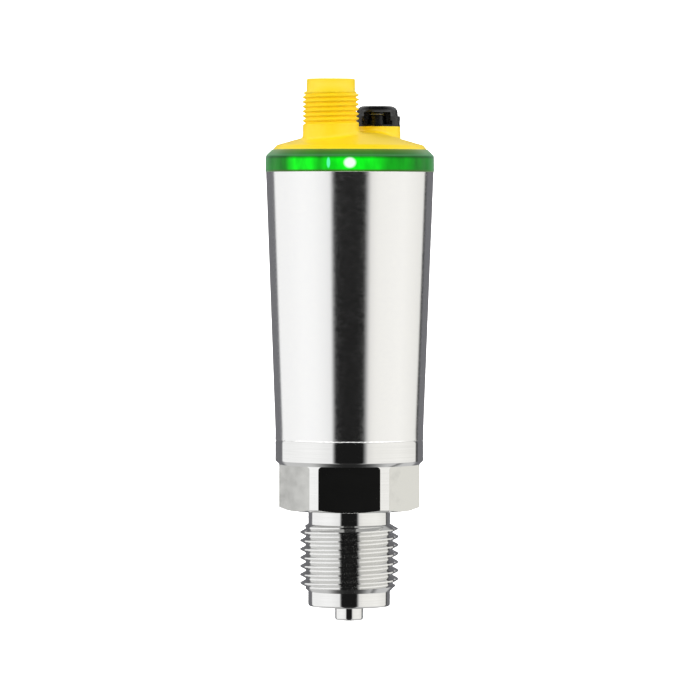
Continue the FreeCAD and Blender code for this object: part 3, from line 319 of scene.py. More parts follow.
# How finely the meshes are made
ROUND_STEPS = 256
SMALL_ROUND_STEPS = 96
THREAD_STEPS = 96
CORNER_SEGMENTS = 5
BREAK_SEGMENTS = 2
RIPPLE_STEPS = 8
SHARP_ANGLE = 22.0
MERGE_DISTANCE = 0.0005
CUT_SPARE = 1.0
GROOVE_SPARE = 0.1
FLAT_TOLERANCE = 0.01


# Modelling

def closed_outline(corners):
    """Closed chain of edges in the XZ plane through (x, z) corners. A third number rounds its corner."""
    bm = bmesh.new()
    points = [bm.verts.new((corner[0], 0, corner[1])) for corner in corners]
    for here, after in zip(points, points[1:] + points[:1]):
        bm.edges.new((here, after))
    for i, corner in enumerate(corners):
        if len(corner) < 3:
            continue
        here = Vector(corner[:2])
        before = Vector(corners[i - 1][:2])
        after = Vector(corners[(i + 1) % len(corners)][:2])
        half_angle = (before - here).angle(after - here) / 2
        bmesh.ops.bevel(
            bm,
            geom=[points[i]],
            offset=corner[2] / math.tan(half_angle),
            affect="VERTICES",
            segments=CORNER_SEGMENTS,
            profile=0.5,
            material=-1,
        )
    return bm


def shift(bm, x=0, y=0, z=0):
    """Shifts a bmesh and gives it back."""
    bmesh.ops.translate(bm, verts=bm.verts[:], vec=(x, y, z))
    return bm


def close_up(bm):
    """Merges doubled points, drops loose edges and turns the faces outwards."""
    bmesh.ops.remove_doubles(bm, verts=bm.verts[:], dist=MERGE_DISTANCE)
    bmesh.ops.delete(bm, geom=[edge for edge in bm.edges if edge.is_wire], context="EDGES")
    bmesh.ops.recalc_face_normals(bm, faces=bm.faces[:])


def turned(corners, steps=ROUND_STEPS):
    """Closed solid of revolution about Z from (radius, z) corners."""
    bm = closed_outline(corners)
    bmesh.ops.spin(
        bm,
        geom=bm.verts[:] + bm.edges[:],
        cent=(0, 0, 0),
        axis=(0, 0, 1),
        angle=math.tau,
        steps=steps,
        use_merge=True,
    )
    close_up(bm)
    return bm


def thread_groove(radius, pitch, depth, half_angle, crest, start_z, turns):
    """Solid that a threading tool takes away: one V groove, wound upwards and right-handed from +X."""
    lean = math.tan(math.radians(half_angle))
    half_mouth = (pitch - crest) / 2 + GROOVE_SPARE * lean
    half_root = (pitch - crest) / 2 - depth * lean
    bm = closed_outline([
        (radius - depth, start_z - half_root),
        (radius + GROOVE_SPARE, start_z - half_mouth),
        (radius + GROOVE_SPARE, start_z + half_mouth),
        (radius - depth, start_z + half_root),
    ])
    bmesh.ops.contextual_create(bm, geom=bm.edges[:])
    bmesh.ops.spin(
        bm,
        geom=bm.verts[:] + bm.edges[:] + bm.faces[:],
        cent=(0, 0, 0),
        axis=(0, 0, 1),
        dvec=(0, 0, pitch / THREAD_STEPS),
        angle=turns * math.tau,
        steps=turns * THREAD_STEPS,
    )
    close_up(bm)
    return bm


def blocks_round(corners, near, far, count):
    """Copies of an upright outline round the axis, pushed out between two distances, the first in front."""
    bm = closed_outline(corners)
    bmesh.ops.contextual_create(bm, geom=bm.edges[:])
    shift(bm, y=-near)
    pushed = bmesh.ops.extrude_face_region(bm, geom=bm.faces[:])
    outer = [item for item in pushed["geom"] if isinstance(item, bmesh.types.BMVert)]
    bmesh.ops.translate(bm, verts=outer, vec=(0, near - far, 0))
    bmesh.ops.recalc_face_normals(bm, faces=bm.faces[:])
    bmesh.ops.spin(
        bm,
        geom=bm.verts[:] + bm.edges[:] + bm.faces[:],
        cent=(0, 0, 0),
        axis=(0, 0, 1),
        angle=math.tau * (count - 1) / count,
        steps=count - 1,
        use_duplicate=True,
    )
    bmesh.ops.recalc_face_normals(bm, faces=bm.faces[:])
    return bm


def joined(*parts):
    """One bmesh that holds several."""
    whole = bmesh.new()
    for part in parts:
        mesh = bpy.data.meshes.new("part")
        part.to_mesh(mesh)
        part.free()
        whole.from_mesh(mesh)
        bpy.data.meshes.remove(mesh)
    return whole


def cut(blank, tool):
    """What an exact boolean leaves of a blank when the tool's solids are taken away."""
    pair = []
    for name, bm in (("blank", blank), ("tool", tool)):
        mesh = bpy.data.meshes.new(name)
        bm.to_mesh(mesh)
        bm.free()
        pair.append(bpy.data.objects.new(name, mesh))
        bpy.context.scene.collection.objects.link(pair[-1])
    boolean = pair[0].modifiers.new("cut", "BOOLEAN")
    boolean.object = pair[1]
    boolean.operation = "DIFFERENCE"
    boolean.solver = "EXACT"
    rest = bmesh.new()
    rest.from_object(pair[0], bpy.context.evaluated_depsgraph_get())
    for obj in pair:
        bpy.data.meshes.remove(obj.data)
    return rest


def copy_of(node):
    """Closed bmesh of a CAD node, in millimetres, with its loose triangles merged."""
    bm = bmesh.new()
    bm.from_mesh(frame["nodes"][node].data)
    bmesh.ops.scale(bm, verts=bm.verts[:], vec=(1 / MM, 1 / MM, 1 / MM))
    bmesh.ops.remove_doubles(bm, verts=bm.verts[:], dist=MERGE_DISTANCE)
    return bm


def break_edges(bm, width):
    """Bevels the edges where two faces meet at a sharp angle."""
    sharp = [
        edge for edge in bm.edges
        if edge.is_manifold and edge.calc_face_angle() > math.radians(SHARP_ANGLE)
    ]
    bmesh.ops.bevel(
        bm,
        geom=sharp,
        offset=width,
        affect="EDGES",
        segments=BREAK_SEGMENTS,
        profile=0.5,
        material=-1,
        clamp_overlap=True,
    )


def finished(bm, name, slot, nodes, *materials):
    """Turns a bmesh into a smooth piece in metres, which rides on the body and stands for the CAD nodes."""
    bmesh.ops.scale(bm, verts=bm.verts[:], vec=(MM, MM, MM))
    mesh = bpy.data.meshes.new(name)
    bm.to_mesh(mesh)
    bm.free()
    mesh.shade_smooth()
    mesh.set_sharp_from_angle(angle=math.radians(SHARP_ANGLE))
    for material in materials:
        mesh.materials.append(material)
    piece = bpy.data.objects.new(name, mesh)
    bpy.context.scene.collection.objects.link(piece)
    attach(piece, "root")
    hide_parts(*nodes)


# Materials

def linear(code):
    """Linear colour from an sRGB hex code."""
    parts = [int(code[i:i + 2], 16) / 255 for i in (1, 3, 5)]
    return [c / 12.92 if c <= 0.04045 else ((c + 0.055) / 1.055) ** 2.4 for c in parts] + [1.0]


def add(tree, kind, inputs=None, stops=None, **settings):
    """Adds a node. An input takes a value or another node's output. A ramp takes (place, colour) stops."""
    node = tree.nodes.new(kind)
    for name, value in settings.items():
        setattr(node, name, value)
    for key, value in (inputs or {}).items():
        if isinstance(value, bpy.types.NodeSocket):
            tree.links.new(value, node.inputs[key])
        else:
            node.inputs[key].default_value = value
    if stops:
        ends = node.color_ramp.elements
        ends[0].position, ends[0].color = stops[0]
        ends[1].position, ends[1].color = stops[-1]
        for place, colour in stops[1:-1]:
            ends.new(place).color = colour
    return node


def surface(name, inputs):
    """New material with one Principled shader, set from a table of its sockets."""
    material = bpy.data.materials.new(name)
    material.use_nodes = True
    tree = material.node_tree
    tree.nodes.clear()
    shader = add(tree, "ShaderNodeBsdfPrincipled", inputs)
    add(tree, "ShaderNodeOutputMaterial", {"Surface": shader.outputs["BSDF"]})
    return material, tree, shader


def grain(tree, size, detail=3.0, stretch=(1, 1, 1)):
    """Noise on the object's own coordinates, with grains of a size in millimetres that can be stretched."""
    place = add(tree, "ShaderNodeTexCoord")
    scale = [1 / (size * MM * factor) for factor in stretch]
    spot = add(tree, "ShaderNodeMapping", {"Vector": place.outputs["Object"], "Scale": scale})
    return add(tree, "ShaderNodeTexNoise", {"Vector": spot.outputs["Vector"], "Scale": 1.0, "Detail": detail})


def vary(tree, shader, noise, colours, roughness):
    """Lets a noise run the colour between two hex codes and the roughness between two values."""
    tint = add(
        tree,
        "ShaderNodeValToRGB",
        {"Fac": noise.outputs["Fac"]},
        [(NOISE_LOW, linear(colours[0])), (NOISE_HIGH, linear(colours[1]))],
    )
    tree.links.new(tint.outputs["Color"], shader.inputs["Base Color"])
    rough = add(tree, "ShaderNodeMapRange", {
        "Value": noise.outputs["Fac"],
        "From Min": NOISE_LOW,
        "From Max": NOISE_HIGH,
        "To Min": roughness[0],
        "To Max": roughness[1],
    })
    tree.links.new(rough.outputs["Result"], shader.inputs["Roughness"])


def emboss(tree, shader, noise, depth):
    """Gives the surface a relief, its depth in millimetres."""
    bump = add(tree, "ShaderNodeBump", {
        "Height": noise.outputs["Fac"],
        "Distance": depth * MM,
        "Strength": 1.0,
    })
    tree.links.new(bump.outputs["Normal"], shader.inputs["Normal"])


def finish(name, colours, roughness, size, depth, stretch=(1, 1, 1), sockets=None):
    """Surface whose one grain, of a size and depth in millimetres, runs its colour, roughness and relief."""
    material, tree, shader = surface(name, sockets or {})
    tooth = grain(tree, size, stretch=stretch)
    vary(tree, shader, tooth, colours, roughness)
    emboss(tree, shader, tooth, depth)
    return material


def milled_stainless():
    # Stainless steel under a face mill: near a mirror with hazy smudges, darker and duller towards the left
    material, tree, shader = surface("milled_stainless", {"Metallic": 1.0})
    place = add(tree, "ShaderNodeTexCoord")
    axes = add(tree, "ShaderNodeSeparateXYZ", {0: place.outputs["Object"]})
    across = add(tree, "ShaderNodeMapRange", {
        "Value": axes.outputs["X"],
        "From Min": -HEX_FLAT_RADIUS * MM,
        "From Max": HEX_FLAT_RADIUS * MM,
        "To Min": 0.0,
        "To Max": RIGHTWARD_LIFT,
    })
    smudge = grain(tree, SMUDGE_SIZE, detail=5.0, stretch=(1.6, 1.6, 1))
    haze = add(tree, "ShaderNodeMath", {
        0: smudge.outputs["Fac"],
        1: SMUDGE_SHARE,
        2: across.outputs["Result"],
    }, operation="MULTIPLY_ADD")
    tint = add(tree, "ShaderNodeValToRGB", {"Fac": haze.outputs[0]}, [
        (0.12, linear("#A6A6A3")),
        (0.3, linear("#BCBCB9")),
        (0.7, linear("#DEDEDA")),
    ])
    tree.links.new(tint.outputs["Color"], shader.inputs["Base Color"])
    rough = add(tree, "ShaderNodeMapRange", {"Value": haze.outputs[0], "To Min": 0.12, "To Max": 0.04})
    tree.links.new(rough.outputs["Result"], shader.inputs["Roughness"])
    emboss(tree, shader, smudge, SMUDGE_DEPTH)
    return material


def solder_mask_board():
    # Glass epoxy board under green solder mask: satin, with copper tracks that show as lighter lines
    material, tree, shader = surface("solder_mask_board", {"Roughness": 0.35, "Coat Weight": 0.3})
    place = add(tree, "ShaderNodeTexCoord")
    spot = add(tree, "ShaderNodeMapping", {
        "Vector": place.outputs["Object"],
        "Scale": [1 / (TRACK_SPACING * MM)] * 3,
    })
    tracks = add(tree, "ShaderNodeTexBrick", {
        "Vector": spot.outputs["Vector"],
        "Color1": linear("#0F5A34"),
        "Color2": linear("#0C4F2E"),
        "Mortar": linear("#2E7D4E"),
        "Scale": 1.0,
        "Mortar Size": TRACK_WIDTH,
    })
    tree.links.new(tracks.outputs["Color"], shader.inputs["Base Color"])
    emboss(tree, shader, tracks, TRACK_DEPTH)
    return material


def lit_polycarbonate():
    # Green polycarbonate lit from behind: light pools before the lamps, and light painted on its rims as
    # emitted colour, olive for the yellow cap's light and a highlight line
    material, tree, shader = surface("lit_polycarbonate", {
        "Base Color": linear("#06300C"),
        "Roughness": 0.14,
        "Specular IOR Level": 0.06,
        "Sheen Weight": 0.9,
        "Sheen Roughness": 0.38,
        "Sheen Tint": linear("#B8E0C8"),
        "Emission Strength": 1.0,
    })
    place = add(tree, "ShaderNodeTexCoord")
    axes = add(tree, "ShaderNodeSeparateXYZ", {0: place.outputs["Object"]})
    flat = add(tree, "ShaderNodeVectorMath", {0: place.outputs["Object"], 1: (1, 1, 0)}, operation="MULTIPLY")
    outward = add(tree, "ShaderNodeVectorMath", {0: flat.outputs[0]}, operation="NORMALIZE")
    level = RING_GLOW
    for angle, half_width, strength in LIGHT_POOLS:
        turn = math.radians(angle)
        facing = add(tree, "ShaderNodeVectorMath", {
            0: outward.outputs[0],
            1: (math.sin(turn), -math.cos(turn), 0),
        }, operation="DOT_PRODUCT")
        pool = add(tree, "ShaderNodeMapRange", {
            "Value": facing.outputs["Value"],
            "From Min": math.cos(math.radians(half_width)),
            "From Max": math.cos(math.radians(half_width * POOL_CORE)),
            "To Max": strength,
        }, interpolation_type="SMOOTHSTEP")
        total = add(tree, "ShaderNodeMath", {0: level, 1: pool.outputs["Result"]}, operation="ADD")
        level = total.outputs[0]
    height = add(tree, "ShaderNodeMapRange", {
        "Value": axes.outputs["Z"],
        "From Min": RING_BOTTOM_Z * MM,
        "From Max": RING_TOP_Z * MM,
    })
    band = add(tree, "ShaderNodeValToRGB", {"Fac": height.outputs["Result"]}, [
        (share, (shade, shade, shade, 1)) for share, shade in RING_BANDS
    ])
    glow = add(tree, "ShaderNodeVectorMath", {
        0: band.outputs["Color"],
        1: linear(GLOW_COLOUR)[:3],
    }, operation="MULTIPLY")
    streak = grain(tree, STREAK_SIZE, stretch=(1, 1, 2))
    uneven = add(tree, "ShaderNodeMapRange", {
        "Value": streak.outputs["Fac"],
        "From Min": NOISE_LOW,
        "From Max": NOISE_HIGH,
        "To Min": STREAK_DIM,
        "To Max": STREAK_BRIGHT,
    })
    streaked = add(tree, "ShaderNodeMath", {0: level, 1: uneven.outputs["Result"]}, operation="MULTIPLY")
    lit = add(tree, "ShaderNodeVectorMath", {
        0: glow.outputs[0],
        "Scale": streaked.outputs[0],
    }, operation="SCALE")
    # painted light on the rims: olive for the yellow cap's light and a highlight line, the same from every
    # side
    rim = add(tree, "ShaderNodeValToRGB", {"Fac": height.outputs["Result"]}, [
        (share, linear(colour)) for share, colour in RING_RIM_PAINTED_LIGHT
    ])
    whole = add(tree, "ShaderNodeVectorMath", {0: lit.outputs[0], 1: rim.outputs["Color"]}, operation="ADD")
    light = whole.outputs[0]
    spot_z = RING_BOTTOM_Z + HOT_SPOT_HEIGHT
    # each lamp that shows through, and the painted glint
    for angle, half_width, half_height, colour in HOT_SPOTS_AND_GLINT:
        turn = math.radians(angle)
        centre = Vector((RING_RADIUS * math.sin(turn), -RING_RADIUS * math.cos(turn), spot_z))
        offset = add(tree, "ShaderNodeVectorMath", {
            0: place.outputs["Object"],
            1: centre * MM,
        }, operation="SUBTRACT")
        scaled = add(tree, "ShaderNodeVectorMath", {
            0: offset.outputs[0],
            1: (1 / (half_width * MM), 1 / (half_width * MM), 1 / (half_height * MM)),
        }, operation="MULTIPLY")
        reach = add(tree, "ShaderNodeVectorMath", {0: scaled.outputs[0]}, operation="LENGTH")
        hot = add(tree, "ShaderNodeMapRange", {
            "Value": reach.outputs["Value"],
            "From Min": HOT_SPOT_FADE[0],
            "From Max": HOT_SPOT_FADE[1],
        }, interpolation_type="SMOOTHSTEP")
        seen = add(tree, "ShaderNodeMix", {
            0: hot.outputs["Result"],
            6: light,
            7: linear(colour),
        }, data_type="RGBA")
        light = seen.outputs[2]
    tree.links.new(light, shader.inputs["Emission Color"])
    return material


def lamp_epoxy():
    # Clear epoxy lens of a lamp that is switched on: it glows green
    material, tree, shader = surface("lamp_epoxy", {
        "Roughness": 0.2,
        "Emission Color": linear("#1CFF3C"),
        "Emission Strength": 1.5,
    })
    clouded = grain(tree, LENS_CLOUD_SIZE)
    vary(tree, shader, clouded, ("#CFEFD2", "#EAF8EA"), (0.15, 0.3))
    return material


# Pieces

def process_fitting():
    """Fitting turned from one bar, with a true helical thread and a milled hexagon."""
    lead = PROCESS_CREST_RADIUS - NECK_RADIUS
    runout = lead / math.tan(math.radians(THREAD_RUNOUT_ANGLE))
    chamfer = (HEX_CORNER_RADIUS - SEAL_FACE_RADIUS) * math.tan(math.radians(HEX_CHAMFER_ANGLE))
    collar_bottom = HEX_HEIGHT + COLLAR_RADIUS - HEX_CORNER_RADIUS
    seam_z = WELD_Z - BEAD_DROP - BEAD_HALF_WIDTH
    blank = turned([
        (PORT_RADIUS, SPIGOT_BOTTOM_Z, PORT_EDGE),
        (SPIGOT_RADIUS, SPIGOT_BOTTOM_Z, SPIGOT_EDGE),
        (SPIGOT_RADIUS, SPIGOT_BOTTOM_Z + SPIGOT_LENGTH, SPIGOT_FILLET),
        (NECK_RADIUS, SPIGOT_BOTTOM_Z + SPIGOT_LENGTH, PILOT_EDGE),
        (NECK_RADIUS, THREAD_BOTTOM_Z),
        (PROCESS_CREST_RADIUS, THREAD_BOTTOM_Z + lead),
        (PROCESS_CREST_RADIUS, -NECK_HEIGHT - runout),
        (NECK_RADIUS, -NECK_HEIGHT),
        (NECK_RADIUS, 0, NECK_FILLET),
        (SEAL_FACE_RADIUS, 0, SEAL_FACE_EDGE),
        (HEX_CORNER_RADIUS, chamfer, SEAL_FACE_EDGE),
        (HEX_CORNER_RADIUS, HEX_HEIGHT),
        (COLLAR_RADIUS, collar_bottom, COLLAR_EDGE),
        (COLLAR_RADIUS, seam_z - SEAM_GAP_WIDTH),
        (COLLAR_RADIUS - SEAM_GAP_DEPTH, seam_z - SEAM_GAP_WIDTH),
        (COLLAR_RADIUS - SEAM_GAP_DEPTH, WELD_Z),
        (LIP_RADIUS, WELD_Z),
        (LIP_RADIUS, LIP_TOP_Z),
        (LIP_BORE_RADIUS, LIP_TOP_Z),
        (LIP_BORE_RADIUS, LEDGE_Z),
        (RECESS_RADIUS, LEDGE_Z),
        (RECESS_RADIUS, RECESS_FLOOR_Z),
        (PORT_BOSS_RADIUS, RECESS_FLOOR_Z),
        (PORT_BOSS_RADIUS, PORT_BOSS_Z),
        (PORT_RADIUS, PORT_BOSS_Z),
    ])
    groove = thread_groove(
        PROCESS_CREST_RADIUS,
        PROCESS_PITCH,
        PROCESS_DEPTH,
        PROCESS_HALF_ANGLE,
        PROCESS_CREST,
        PROCESS_LEFT_CREST_Z - (PROCESS_TURNS - 1) * PROCESS_PITCH,
        PROCESS_TURNS,
    )
    half_chord = math.sqrt(HEX_CORNER_RADIUS ** 2 - HEX_FLAT_RADIUS ** 2)
    milling = blocks_round([
        (-half_chord, -CUT_SPARE),
        (half_chord, -CUT_SPARE),
        (half_chord, HEX_HEIGHT, FLAT_CORNER_RADIUS),
        (-half_chord, HEX_HEIGHT, FLAT_CORNER_RADIUS),
    ], HEX_FLAT_RADIUS, HEX_CORNER_RADIUS + CUT_SPARE, HEX_SIDES)
    fitting = cut(blank, joined(groove, milling))
    for face in fitting.faces:
        middle = face.calc_center_median()
        on_flat = abs(middle.xy.dot(face.normal.xy) - HEX_FLAT_RADIUS) < FLAT_TOLERANCE
        if on_flat and abs(face.normal.z) < FLAT_TOLERANCE and 0 < middle.z < HEX_HEIGHT:
            face.material_index = 1
    finished(fitting, "turned_fitting", "stainless", ["process_fitting"], turned_steel, milled_steel)


def housing_tube():
    """Conical tube with a straight foot and a turned mouth."""
    foot_z = WELD_Z + TUBE_STRAIGHT
    taper = (TUBE_TOP_RADIUS - COLLAR_RADIUS) / (TUBE_TOP_Z - foot_z)
    mouth_z = TUBE_TOP_Z - MOUTH_DEPTH
    tube = turned([
        (COLLAR_RADIUS, WELD_Z),
        (COLLAR_RADIUS, foot_z),
        (TUBE_TOP_RADIUS, TUBE_TOP_Z, TUBE_EDGE),
        (TUBE_TOP_RADIUS - MOUTH_WALL, TUBE_TOP_Z),
        (TUBE_TOP_RADIUS - MOUTH_WALL, mouth_z),
        (COLLAR_RADIUS + taper * (mouth_z - foot_z) - TUBE_WALL, mouth_z),
        (COLLAR_RADIUS - TUBE_WALL, foot_z),
        (COLLAR_RADIUS - TUBE_WALL, WELD_Z),
    ])
    finished(tube, "tapered_housing", "stainless", ["housing_tube"], polished_tube)


def weld_bead():
    """Low bead between collar and tube, with the crescent ripples that the weld's pulses leave."""
    bead_z = WELD_Z - BEAD_DROP
    crown = [
        (COLLAR_RADIUS + BEAD_RISE * (1 - share ** 2), bead_z + share * BEAD_HALF_WIDTH)
        for share in BEAD_STATIONS
    ]
    foot = [
        (COLLAR_RADIUS - BEAD_BURIED, bead_z + BEAD_HALF_WIDTH),
        (COLLAR_RADIUS - BEAD_BURIED, bead_z - BEAD_HALF_WIDTH),
    ]
    bead = turned(crown + foot, steps=BEAD_RIPPLES * RIPPLE_STEPS)
    for vert in bead.verts:
        if vert.co.xy.length < COLLAR_RADIUS - BEAD_BURIED / 2:
            continue
        across = (vert.co.z - bead_z) / BEAD_HALF_WIDTH
        phase = BEAD_RIPPLES * math.atan2(vert.co.y, vert.co.x) + BEAD_CRESCENT * across ** 2
        swell = BEAD_RIPPLE_DEPTH * math.cos(phase) * (1 - across ** 2)
        vert.co.xy *= 1 + swell / COLLAR_RADIUS
    finished(bead, "weld_bead", "stainless", [], weld_metal)


def head_cap():
    """The moulded cap up to the plug's base, and a new shroud whose thread is a true helix."""
    cap = copy_of("head_cap")
    split = bmesh.ops.bisect_plane(
        cap,
        geom=cap.verts[:] + cap.edges[:] + cap.faces[:],
        plane_co=(0, 0, SHROUD_SEAM_Z),
        plane_no=(0, 0, 1),
        clear_outer=True,
    )
    rim = [item for item in split["geom_cut"] if isinstance(item, bmesh.types.BMEdge)]
    bmesh.ops.triangle_fill(cap, edges=rim, use_beauty=True, normal=(0, 0, 1))
    blank = turned([
        (SOCKET_RADIUS, SHROUD_SEAM_Z),
        (PLUG_BASE_RADIUS, SHROUD_SEAM_Z),
        (PLUG_BASE_RADIUS, PLUG_BASE_Z),
        (PLUG_CREST_RADIUS, PLUG_BASE_Z),
        (PLUG_CREST_RADIUS, PLUG_THREAD_TOP_Z - PLUG_LEAD_STEP / 2),
        (PLUG_LEAD_RADIUS, PLUG_THREAD_TOP_Z),
        (PLUG_LEAD_RADIUS, PLUG_TOP_Z, PLUG_LEAD_EDGE),
        (SOCKET_RADIUS, PLUG_TOP_Z, SOCKET_EDGE),
    ])
    groove = thread_groove(
        PLUG_CREST_RADIUS,
        PLUG_PITCH,
        PLUG_DEPTH,
        PLUG_HALF_ANGLE,
        PLUG_CREST,
        PLUG_LEFT_CREST_Z - PLUG_PITCH,
        PLUG_TURNS,
    )
    shroud = cut(blank, groove)
    moulding = joined(cap, shift(shroud, *PLUG_AXIS), plug_key())
    finished(moulding, "moulded_cap", "yellow_plastic", ["head_cap"], yellow_plastic)


def plug_key():
    """Rib in the shroud that lets the plug in one way round only."""
    bottom = PLUG_TOP_Z - SOCKET_DEPTH
    top = PLUG_TOP_Z - KEY_SETBACK
    inner = SOCKET_RADIUS - KEY_HEIGHT
    outer = SOCKET_RADIUS + KEY_BURIED
    bm = bmesh.new()
    bmesh.ops.create_cube(bm, size=1)
    bmesh.ops.scale(bm, verts=bm.verts[:], vec=(KEY_WIDTH, outer - inner, top - bottom))
    shift(bm, PLUG_AXIS.x, PLUG_AXIS.y + (inner + outer) / 2, (bottom + top) / 2)
    break_edges(bm, KEY_EDGE)
    return bm


def vent_cover():
    """Cup with a stepped collar, and three windows whose pillars stand on the vent's flange."""
    step = COVER_RADIUS - COVER_STEP
    step_z = COVER_BOTTOM_Z + COVER_COLLAR_HEIGHT
    cup = turned([
        (COVER_RADIUS, COVER_BOTTOM_Z),
        (COVER_RADIUS, step_z),
        (step, step_z),
        (step - COVER_DRAFT, COVER_TOP_Z, COVER_EDGE),
        (0, COVER_TOP_Z),
        (0, BAFFLE_Z),
        (BAFFLE_RADIUS - BAFFLE_LIP, BAFFLE_Z),
        (BAFFLE_RADIUS - BAFFLE_LIP, BAFFLE_LIP_Z),
        (BAFFLE_RADIUS, BAFFLE_LIP_Z),
        (BAFFLE_RADIUS, COVER_TOP_Z - COVER_WALL),
        (step - COVER_DRAFT - COVER_WALL, COVER_TOP_Z - COVER_WALL, COVER_EDGE - COVER_WALL),
        (step - COVER_WALL, COVER_BOTTOM_Z),
    ], steps=SMALL_ROUND_STEPS)
    foot_top = COVER_BOTTOM_Z + WINDOW_FOOT_HEIGHT
    window_top = COVER_BOTTOM_Z + WINDOW_HEIGHT
    windows = blocks_round([
        (-WINDOW_FOOT_WIDTH / 2, COVER_BOTTOM_Z - CUT_SPARE),
        (WINDOW_FOOT_WIDTH / 2, COVER_BOTTOM_Z - CUT_SPARE),
        (WINDOW_FOOT_WIDTH / 2, foot_top),
        (WINDOW_WIDTH / 2, foot_top),
        (WINDOW_WIDTH / 2, window_top, WINDOW_CORNER),
        (-WINDOW_WIDTH / 2, window_top, WINDOW_CORNER),
        (-WINDOW_WIDTH / 2, foot_top),
        (-WINDOW_FOOT_WIDTH / 2, foot_top),
    ], BAFFLE_RADIUS + WINDOW_CLEARANCE, COVER_RADIUS + CUT_SPARE, WINDOW_COUNT)
    cover = cut(cup, windows)
    break_edges(cover, COVER_BREAK)
    shift(cover, *VENT_AXIS)
    finished(cover, "windowed_cover", "black_plastic", ["vent_cover"], black_plastic)


def dress(material, *nodes):
    """Gives CAD nodes that stay in view their finish."""
    for node in nodes:
        for holder in frame["nodes"][node].material_slots:
            holder.material = material


METAL = {"Metallic": 1.0}
# Stainless steel bar, finely turned: bright, with sharp-edged reflections.
# The marks of the tool are too fine to show, so they are drawn coarser.
turned_steel = finish(
    "turned_stainless",
    colours=("#E4E4E3", "#EAEAE9"),
    roughness=(0.05, 0.09),
    size=0.25,
    depth=0.0002,
    stretch=(60, 60, 1),
    sockets=METAL,
)
# Stainless steel tube, ground and polished: the same reflections, softer and faintly speckled
polished_tube = finish(
    "polished_stainless",
    colours=("#EBEBEB", "#EEEEED"),
    roughness=(0.1, 0.17),
    size=0.4,
    depth=0.0003,
    stretch=(2.5, 2.5, 1),
    sockets=METAL,
)
milled_steel = milled_stainless()
# Stainless steel that was melted and froze: bright and smooth
weld_metal = finish(
    "weld_stainless",
    colours=("#E4E4E3", "#F0F0EF"),
    roughness=(0.14, 0.24),
    size=0.8,
    depth=0.003,
    sockets=METAL,
)
# Deep-drawn stainless cup of the sensor: satin
drawn_steel = finish(
    "drawn_stainless",
    colours=("#C9C9C7", "#D6D6D4"),
    roughness=(0.25, 0.35),
    size=0.5,
    depth=0.001,
    sockets=METAL,
)
# Gold plate on brass pins: warm and shiny
contact_gold = finish(
    "gold_plate",
    colours=("#F0C878", "#F7D48A"),
    roughness=(0.14, 0.22),
    size=0.3,
    depth=0.0005,
    stretch=(30, 30, 1),
    sockets=METAL,
)
# Drawn aluminium can: pale and satin
can_metal = finish(
    "drawn_aluminium",
    colours=("#CFD0D2", "#DCDDDE"),
    roughness=(0.28, 0.38),
    size=0.4,
    depth=0.001,
    stretch=(1, 1, 8),
    sockets=METAL,
)
# Moulded polybutylene terephthalate: a warm satin yellow, with the faint grain of its tool
yellow_plastic = finish(
    "yellow_pbt",
    colours=("#FFDC14", "#FFDF1C"),
    roughness=(0.38, 0.42),
    size=0.8,
    depth=0.0006,
    sockets={"IOR": 1.5, "Specular IOR Level": 0.42},
)
# Glass-filled nylon: deep black with a soft sheen
black_plastic = finish(
    "black_nylon",
    colours=("#080809", "#0E0E0F"),
    roughness=(0.24, 0.32),
    size=0.4,
    depth=0.002,
    sockets={"Specular IOR Level": 0.38},
)
# Nitrile rubber of an O-ring: black and dull
seal_rubber = finish("nitrile_rubber", ("#101010", "#1A1A1A"), (0.55, 0.7), size=0.4, depth=0.004)
# Stretched fluoropolymer film: white and open-pored, so it scatters all light
membrane_film = finish("porous_film", ("#E6E6E4", "#F6F6F5"), (0.8, 0.95), size=0.2, depth=0.02)
# Nylon insert behind the contacts: black, finely grained
insert_plastic = finish("insert_nylon", ("#141415", "#1E1E20"), (0.42, 0.55), size=0.3, depth=0.004)
# Carrier moulded in mineral-filled plastic: dark grey and dull
frame_plastic = finish("carrier_plastic", ("#262628", "#323235"), (0.5, 0.62), size=0.4, depth=0.004)
# Epoxy package of a chip: charcoal, matt
chip_plastic = finish("chip_epoxy", ("#17171A", "#212124"), (0.5, 0.6), size=0.2, depth=0.003)
# Liquid crystal polymer of a cable socket: cream, satin
socket_plastic = finish("socket_polymer", ("#CFC7B4", "#DED6C4"), (0.4, 0.5), size=0.3, depth=0.003)
# Polyimide film over copper: amber and smooth, with the copper faintly streaked along it
flex_film = finish(
    "polyimide_film",
    colours=("#A8641E", "#C98632"),
    roughness=(0.18, 0.26),
    size=0.5,
    depth=0.001,
    stretch=(1, 1, 20),
    sockets={"Coat Weight": 0.4},
)
# Sintered ferrite: grey-black and gritty
coil_core = finish("sintered_ferrite", ("#2A2827", "#3A3836"), (0.6, 0.75), size=0.25, depth=0.01)
board = solder_mask_board()
ring_light = lit_polycarbonate()
lamp_plastic = lamp_epoxy()

process_fitting()
housing_tube()
weld_bead()
head_cap()
vent_cover()

dress(ring_light, "light_ring")
dress(black_plastic, "vent_body")
dress(seal_rubber, "tube_seal", "cap_seal", "vent_seal")
dress(membrane_film, "vent_membrane")
dress(insert_plastic, "contact_carrier")
dress(contact_gold, "contact_pin_1", "contact_pin_2", "contact_pin_3", "contact_pin_4")
dress(drawn_steel, "sensor_cell")
dress(frame_plastic, "cell_support", "electronics_carrier")
dress(board, "cell_board", "main_board", "light_board")
dress(chip_plastic, "cell_amplifier", "microcontroller", "surge_suppressor", "board_header")
dress(chip_plastic, "output_driver_1", "output_driver_2")
dress(socket_plastic, "lower_flex_socket", "upper_flex_socket")
dress(flex_film, "flex_cable")
dress(can_metal, "crystal", "storage_capacitor")
dress(coil_core, "choke_coil")
dress(lamp_plastic, *["lamp_%d" % (i + 1) for i in range(LAMP_COUNT)])


# Studio

